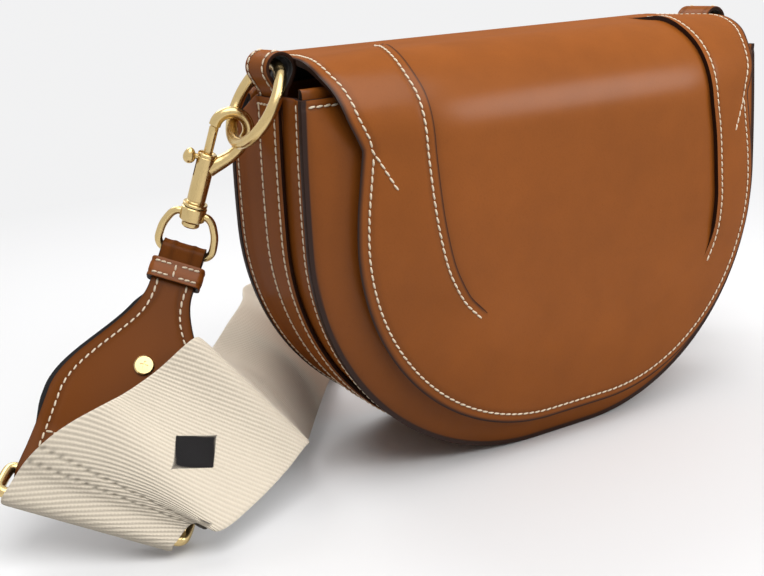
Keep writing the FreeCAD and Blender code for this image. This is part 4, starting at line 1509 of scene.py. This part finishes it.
class HANDBAG_OT_strap_tabs(BothSides, bpy.types.Operator):
    """Flared leather ends of the strap, folded over the eye and the strap ring"""

    bl_idname = "handbag.strap_tabs"
    bl_label = "Strap tabs"

    def half_width(self, level):
        """Half the width at a level below the eye's bar."""
        flare = np.clip((-level - FLARE_START) / FLARE_RUN, 0, 1)
        return NECK_HALF + (WEBBING_HALF - NECK_HALF) * (3 * flare ** 2 - 2 * flare ** 3)

    def dish(self, share, level):
        """Bow of the leather across its width."""
        return -TAB_DISH * np.asarray(share) ** 2 * step(-20.0, -60.0, level) * step(-90.0, -74.0, level)

    def section(self):
        """Outer line of the folded leather, from its tail round the ring and over the eye to its end."""
        low = -STRAP_TAB_LENGTH
        tail = [(-TAB_FACE, low + 13.0), (-1.7, low + 9.0), (-2.6, low + 4.6)]
        foot = [(4.0 * cos(turn), low + 4.0 * sin(turn)) for turn in np.radians(np.linspace(-170, -10, 13))]
        front = [(2.6, low + 4.6), (1.7, low + 9.0)]
        front += [(TAB_FACE, level) for level in (low + 16.0, -60.0, -40.0, -20.0, -11.0)]
        front.append((2.3, -5.2))
        over = [(3.5 * cos(turn), 3.5 * sin(turn)) for turn in np.radians(np.linspace(-25, 205, 17))]
        back = [(-2.3, -5.2), (-TAB_FACE, -11.0), (-TAB_FACE, -17.5)]
        return spaced(flowing(tail + foot + front + over + back, 6), 190)

    def make(self, side):
        place = tab_place(side)
        line = self.section()
        outward = -beside(line)
        shares = eased(31, 1.7) * 2 - 1
        half = self.half_width(line[:, 1])[:, None]
        rim = half * (1 - np.abs(shares))
        front = line[:, :1] > 1.0
        lift = (groove(rim, STRAP_SEAM, 0.9, 0.3) - 0.25 * fading(rim, 0.8)) * front
        y = line[:, :1] + outward[:, :1] * lift + self.dish(shares[None, :], line[:, 1:])
        z = line[:, 1:] + outward[:, 1:] * lift
        # Painted shade, partly real crease: darker in the stitch grooves on the front and at the cut edges
        pressed = np.clip(bell(rim, STRAP_SEAM, 1.0) * front + fading(rim, 0.9), 0, 1)
        grid = stood_in(place, np.stack([half * shares, y, z], axis=-1))
        piece = surfaced("strap_leather_" + side, grid, pressed, flip=True)
        leathered(piece, THICKNESS["strap_tab"], "strap_tab_" + side, "strap_tab_" + side,
                  face="shaded_strap_leather")
        self.backing(side, place)
        self.sew(side, place)

    def backing(self, side, place):
        levels = np.linspace(-18.5, -STRAP_TAB_LENGTH + 14.0, 40)[:, None]
        shares = np.linspace(-1, 1, 22)
        spare = 1.9 * step(-17.0, -24.0, levels) * step(-79.0, -66.0, levels)
        x = self.half_width(levels) * shares + spare * (shares + 1) / 2
        bow = self.dish(shares[None, :], levels)
        grid = np.stack(np.broadcast_arrays(x, bow - TAB_FACE, levels), axis=-1)
        piece = surfaced("strap_backing_" + side, stood_in(place, grid), flip=True)
        leathered(piece, THICKNESS["strap_tab"], "strap_tab_" + side, face="suede", rounding=0.25)

    def sew(self, side, place):
        outward = np.array(place.to_3x3().col[1])
        rows = []
        levels = np.linspace(-1.0, SEWN_TOP, 200)
        half = self.half_width(levels)
        inset = 2.4 + 1.8 * step(-14.0, -30.0, levels)
        for sign in SIGNS.values():
            x = sign * (half - inset)
            y = TAB_FACE + self.dish(x / half, levels) + 0.9 * step(-7.0, -1.0, levels)
            rows.append((stood_in(place, np.stack([x, y, levels], axis=1)), outward))
        foot = 8.5 - STRAP_TAB_LENGTH
        ends = [((-SEWN_HALF, level), (SEWN_HALF, level)) for level in (SEWN_TOP, foot)]
        ends += [((x, SEWN_TOP - 0.5), (x, foot)) for x in (-SEWN_HALF, SEWN_HALF)]
        for pair in ends:
            x, z = spaced(pair, 60).T
            y = 1.65 + self.dish(x / WEBBING_HALF, z)
            rows.append((stood_in(place, np.stack([x, y, z], axis=1)), outward))
        stitched("strap_stitching_" + side, rows, "strap_tab_" + side)


class HANDBAG_OT_keepers(BothSides, bpy.types.Operator):
    """Stitched leather keepers round the necks of the strap tabs"""

    bl_idname = "handbag.keepers"
    bl_label = "Keepers"

    def ring_line(self):
        """Closed rounded line of the keeper's outer face."""
        across, deep, corner = 10.3, 3.9, 2.2
        line = []
        for x, y, first in ((1, 1, 90), (1, -1, 0), (-1, -1, -90), (-1, 1, -180)):
            for turn in np.radians(np.linspace(first, first - 90, 8)):
                line.append((x * (across - corner) + corner * cos(turn),
                             y * (deep - corner) + corner * sin(turn)))
        return spaced(line + line[:1], 121)[:-1]

    def make(self, side):
        place = tab_place(side)
        line = self.ring_line()
        levels = np.concatenate([np.linspace(KEEPER_TOP, -7.5, 7), [-9.0],
                                 np.linspace(-10.5, KEEPER_FOOT, 7)])
        rim = np.minimum(KEEPER_TOP - levels, levels - KEEPER_FOOT)
        shrink = 1 - 0.02 * bell(rim, KEEPER_SEAM, 0.6) - 0.02 * fading(rim, 0.5)
        rows = [np.hstack([line * share, np.full((len(line), 1), level)])
                for level, share in zip(levels, shrink)]
        grid = stood_in(place, np.stack(rows, axis=0))
        pressed = press_and_shade_at(rim, KEEPER_SEAM, 0.8, 0.7)[:, None]
        piece = surfaced("keeper_leather_" + side, grid, pressed, wrap=True)
        leathered(piece, THICKNESS["keeper"], "keeper_" + side, "keeper_" + side, rounding=0.3)
        outward = np.array(place.to_3x3().col[1])
        runs = [spaced([(x, KEEPER_FACE, level) for x in ends], 20)
                for level in (KEEPER_TOP - KEEPER_SEAM, KEEPER_FOOT + KEEPER_SEAM)
                for ends in KEEPER_RUNS]
        runs.append(spaced([(0.4, 3.9, -6.4), (0.4, 3.9, -11.6)], 10))
        rows = [(stood_in(place, run), outward) for run in runs]
        stitched("keeper_stitching_" + side, rows, "keeper_" + side, pitch=2.3)


class HANDBAG_OT_studs(bpy.types.Operator):
    """Brass screw studs in the strap tabs and the snap of the flap"""

    bl_idname = "handbag.studs"
    bl_label = "Studs and snap"

    def execute(self, context):
        for side in SIGNS:
            self.stud(side)
        self.snap()
        return {"FINISHED"}

    def stud(self, side):
        head = turned("head")
        for x, y in ((1.5, 0.32), (0.32, 1.5)):
            cut_by(head, box_of((-x, -y, 0.55), (x, y, 2.0)))
        tidy(head, 30.0)
        lie = Matrix.Translation((0, TAB_FACE * MM, STUD_LEVEL * MM)) @ Matrix.Rotation(-pi / 2, 4, "X")
        placed(head, tab_place(side) @ lie)
        head.name = "screw_stud_" + side
        dressed(head, "brass", "strap_tab_" + side, "tab_stud_" + side)

    def snap(self):
        for name, (depth, turn, body, node) in SNAP_HALVES.items():
            place = Matrix.Translation((0, depth * MM, SNAP_LEVEL * MM)) @ Matrix.Rotation(turn, 4, "X")
            dressed(placed(turned(name, 48), place), "brass", body, node)
        coated(frame["nodes"]["snap_washer"], "steel")


class HANDBAG_OT_strap_rings(BothSides, bpy.types.Operator):
    """Flat brass loops between the strap tabs and the webbing"""

    bl_idname = "handbag.strap_rings"
    bl_label = "Strap rings"

    def make(self, side):
        pivot = JOINTS["strap_ring_" + side + "_pivot"]
        place = standing(Vector(pivot["pos_m"]), -Vector(HANGS[side]), Vector(pivot["axis"]))
        ring = wire("strap_ring_brass_" + side, self.loop(), STRAP_RING_WIRE, closed=True, resolution=6)
        dressed(placed(ring, place), "brass", "strap_ring_" + side, "strap_ring_" + side)

    def loop(self):
        """Rounded rectangle that hangs below its bar, from the middle of the bar."""
        side = STRAP_RING_HALF - STRAP_RING_BEND
        foot = STRAP_RING_BEND - STRAP_RING_DROP
        straight = STRAP_RING_HALF - 8
        line = [(0, 0), (straight, 0)]
        for x, z, first in ((side, -STRAP_RING_BEND, 90), (side, foot, 0), (-side, foot, -90),
                            (-side, -STRAP_RING_BEND, -180)):
            for turn in np.radians(np.linspace(first, first - 90, 5)):
                line.append((x + STRAP_RING_BEND * cos(turn), z + STRAP_RING_BEND * sin(turn)))
            if first == 0:
                line += [(x, -STRAP_RING_DROP) for x in (straight, 0, -straight)]
        line.append((-straight, 0))
        return [Vector((x, 0, z)) for x, z in line]


class HANDBAG_OT_webbing(bpy.types.Operator):
    """Wide cotton webbing of the strap, folded and sewn round the left strap ring"""

    bl_idname = "handbag.webbing"
    bl_label = "Webbing"

    def execute(self, context):
        self.measure()
        shares = np.linspace(0, 1, 121)
        tail = np.linspace(WEBBING_TAIL, 3.0, 16)
        sewn = np.linspace(1.0, WEBBING_CUT, 35)
        laid = np.concatenate([np.linspace(WEBBING_CUT, 30.0, 13), np.linspace(31.5, self.reach[-1], 170)])
        fold = [self.row(reach, shares, WEBBING_UNDER - 1.2 * step(16.0, 1.0, reach)) for reach in tail]
        fold += [self.turn(angle, shares) for angle in np.radians(np.linspace(-95, -265, 15))]
        fold += [self.row(reach, shares, WEBBING_FACE + 3.2 * step(9.0, 0.0, reach)) for reach in sewn]
        at = np.concatenate([-tail - 12.0, np.linspace(-14.0, 0.0, 15), sewn])
        self.woven("webbing_end", np.stack(fold), at, shares, FOLD_BEND, "webbing")
        rows = np.stack([self.row(reach, shares, WEBBING_FACE) for reach in laid])
        self.woven("webbing_sheet", rows, laid, shares, LAID_BEND)
        self.motif()
        return {"FINISHED"}

    def woven(self, name, grid, at, shares, body, *nodes):
        """One piece of the webbing with soft selvages, at these distances along it."""
        # Share of the seam dots: sunken dents that the twill also darkens as painted shade
        pressed = np.zeros(grid.shape[:2])
        dots = np.sin(shares * 2 * WEBBING_HALF * tau / 3.4) * 0.5 + 0.5
        for seam in WEBBING_SEAMS:
            pressed = np.maximum(pressed, bell(at, seam, 0.75)[:, None] * dots[None, :] ** 2)
        rim = np.minimum(shares, 1 - shares) * 2 * WEBBING_HALF
        face = unit(np.cross(np.gradient(grid, axis=0), np.gradient(grid, axis=1)))
        grid = grid - face * (0.75 * pressed + 0.45 * fading(rim, 0.5)[None, :])[..., None]
        uv = np.stack(np.broadcast_arrays(shares[None, :] * 0.6, at[:, None] / 100.0), axis=-1)
        piece = surfaced(name, grid, pressed, flip=True, scale_uv=uv)
        leathered(piece, THICKNESS["webbing"], body, *nodes, back="reverse", face="webbing", rim="webbing",
                  rounding=0)

    def motif(self):
        """Plain lozenge in satin stitch: side by side threads, each across the lozenge."""
        centre, middle, half, reach_half = 44.0, 0.47, 8.0, 10.0
        rows = []
        for offset in np.linspace(-half, half, 33):
            spread = reach_half * (1 - abs(offset) / half) + 0.6
            share = np.array([middle + offset / (2 * WEBBING_HALF)])
            line = np.vstack([self.row(centre + t * spread, share, 1.05) for t in np.linspace(-1, 1, 9)])
            rows.append((line, self.station(centre)[2]))
        stitched("webbing_motif", rows, LAID_BEND, pitch=100.0, slant=0.0, width=0.42, height=0.34, share=0.5,
                 finish="satin")

    def measure(self):
        """Closely set stations of the webbing's middle layer, with their distances along it."""
        self.lows = flowing([low for low, width in WEBBING_STATIONS], 14)
        self.widths = unit(flowing([width for low, width in WEBBING_STATIONS], 14))
        middle = self.lows + self.widths * WEBBING_HALF
        self.reach = lengths(middle)
        self.faces = unit(np.cross(np.gradient(middle, axis=0), self.widths))

    def station(self, reach):
        found = [[np.interp(reach, self.reach, column) for column in table.T]
                 for table in (self.lows, self.widths, self.faces)]
        return np.array(found)

    def row(self, reach, shares, lift):
        """One line across the webbing, lifted off its middle layer."""
        low, width, face = self.station(reach)
        hump = step(*HUMP_START, reach) * step(*HUMP_END, reach)
        away = (shares * 2 - 1) ** 2
        bow = 0.5 * sin(reach / 31.0) * away - HUMP_HEIGHT * hump * (1 - away)
        across = (shares + (1 - shares) * HUMP_PULL * hump) * 2 * WEBBING_HALF
        return low + width * across[:, None] + face * (lift - bow)[:, None]

    def turn(self, angle, shares):
        """One line across the fold round the ring's bar."""
        low, width, face = self.station(0.0)
        ahead = np.cross(width, face)
        away = WEBBING_FOLD * (ahead * cos(angle) + face * sin(angle))
        return low + width * (shares * 2 * WEBBING_HALF)[:, None] + away


class HANDBAG_OT_stage(bpy.types.Operator):
    """Pale floor, soft studio lights and the camera"""

    bl_idname = "handbag.stage"
    bl_label = "Stage"

    def execute(self, context):
        scene = context.scene
        scene.view_settings.view_transform = "Standard"
        self.floor(scene.handbag_stage)
        self.lights(scene.handbag_stage)
        self.world(scene, scene.handbag_stage)
        camera = bpy.data.cameras.new("camera")
        camera.lens = CAMERA_LENS
        camera.sensor_width = 36.0
        camera.sensor_fit = "HORIZONTAL"
        camera.clip_start = 0.01
        viewer = linked("camera", camera)
        right = Vector(CAMERA_RIGHT).normalized()
        back = Vector(CAMERA_BACK).normalized()
        up = back.cross(right).normalized()
        right = up.cross(back)
        turn = Matrix((right, up, back)).transposed().to_4x4()
        viewer.matrix_world = Matrix.Translation(CAMERA_PLACE) @ turn
        scene.camera = viewer
        return {"FINISHED"}

    def floor(self, settings):
        floor = added("plane", size=FLOOR_SIZE, location=(0, 0, FLOOR_LEVEL))
        floor.name = "floor"
        finish = Finish("studio_floor", Specular_IOR_Level=0.2)
        cloud = finish.noise(1.4, 2.0)
        pale = finish.mix(cloud, shade(settings.floor_colour, 0.985), settings.floor_colour)
        finish.set(Base_Color=finish.mix(finish.seen(), shade(settings.floor_colour, 0.5), pale),
                   Roughness=0.6 + cloud * 0.1)
        self.fade(finish, settings)
        floor.data.materials.append(finish.material)

    def fade(self, finish, settings):
        """Lets the floor run into the backdrop, so that no horizon shows."""
        reach = finish.node("ShaderNodeVectorMath", {"operation": "LENGTH"}, {0: finish.place()}, "Value")
        far = finish.ramp(reach, *FLOOR_FADE)
        glow = finish.node("ShaderNodeEmission", {}, {"Color": settings.backdrop_colour})
        lit = Value(finish, finish.shader.outputs[0])
        both = finish.node("ShaderNodeMixShader", {}, {0: far * finish.seen(), 1: lit, 2: glow})
        finish.put(finish.tree.nodes["Material Output"].inputs["Surface"], both)

    def lights(self, settings):
        for name, (spot, aim, size, share) in LAMPS.items():
            lamp = bpy.data.lights.new(name, "AREA")
            lamp.energy = settings.key_power * share
            lamp.size = size
            lamp.shape = "DISK"
            holder = linked(name, lamp)
            holder.location = spot
            holder.rotation_mode = "QUATERNION"
            holder.rotation_quaternion = (Vector(aim) - Vector(spot)).to_track_quat("-Z", "Y")

    def world(self, scene, settings):
        """Soft white studio, darker on the near side, behind a plain white backdrop."""
        world = bpy.data.worlds.new("studio")
        scene.world = world
        world.use_nodes = True
        studio = Finish.of_world(world)
        apart = studio.node("ShaderNodeSeparateXYZ", {}, {0: studio.place("Generated")})
        x, y, z = [Value(studio, socket) for socket in apart.socket.node.outputs]
        left = studio.ramp(x * -0.9 + y * -0.2, (0.0, 0.0), (0.85, 1.0))
        high = studio.ramp(z, (0.0, 0.35), (0.8, 0.7))
        level = high * (1.0 - left * 0.8)
        colour = studio.mix(studio.seen(), level, settings.backdrop_colour)
        studio.put(world.node_tree.nodes["Background"].inputs["Color"], colour)


class HANDBAG_PT_sidebar(bpy.types.Panel):
    bl_idname = "HANDBAG_PT_sidebar"
    bl_label = "Saddle handbag"
    bl_space_type = "VIEW_3D"
    bl_region_type = "UI"
    bl_category = "Handbag"

    def draw(self, context):
        for group in SETTING_GROUPS:
            settings = getattr(context.scene, group)
            box = self.layout.box()
            for key in settings.__annotations__:
                box.prop(settings, key)
        for operator in OPERATORS:
            self.layout.operator(operator.bl_idname)


SETTING_GROUPS = {"handbag_leather": LeatherSettings, "handbag_brass": BrassSettings,
                  "handbag_webbing": WebbingSettings, "handbag_stage": StageSettings}
OPERATORS = (
    HANDBAG_OT_stage, HANDBAG_OT_flap, HANDBAG_OT_body, HANDBAG_OT_inside, HANDBAG_OT_ring_tabs,
    HANDBAG_OT_side_rings, HANDBAG_OT_hooks, HANDBAG_OT_swivel_eyes, HANDBAG_OT_strap_tabs,
    HANDBAG_OT_keepers, HANDBAG_OT_studs, HANDBAG_OT_strap_rings, HANDBAG_OT_webbing)


def register():
    for group in SETTING_GROUPS.values():
        bpy.utils.register_class(group)
    for operator in OPERATORS:
        bpy.utils.register_class(operator)
    bpy.utils.register_class(HANDBAG_PT_sidebar)
    for key, group in SETTING_GROUPS.items():
        setattr(bpy.types.Scene, key, PointerProperty(type=group))


def unregister():
    for key in SETTING_GROUPS:
        delattr(bpy.types.Scene, key)
    bpy.utils.unregister_class(HANDBAG_PT_sidebar)
    for operator in reversed(OPERATORS):
        bpy.utils.unregister_class(operator)
    for group in reversed(list(SETTING_GROUPS.values())):
        bpy.utils.unregister_class(group)


def main():
    register()
    for operator in OPERATORS:
        getattr(bpy.ops.handbag, operator.bl_idname.split(".")[1])()


if __name__ == "__main__":
    main()
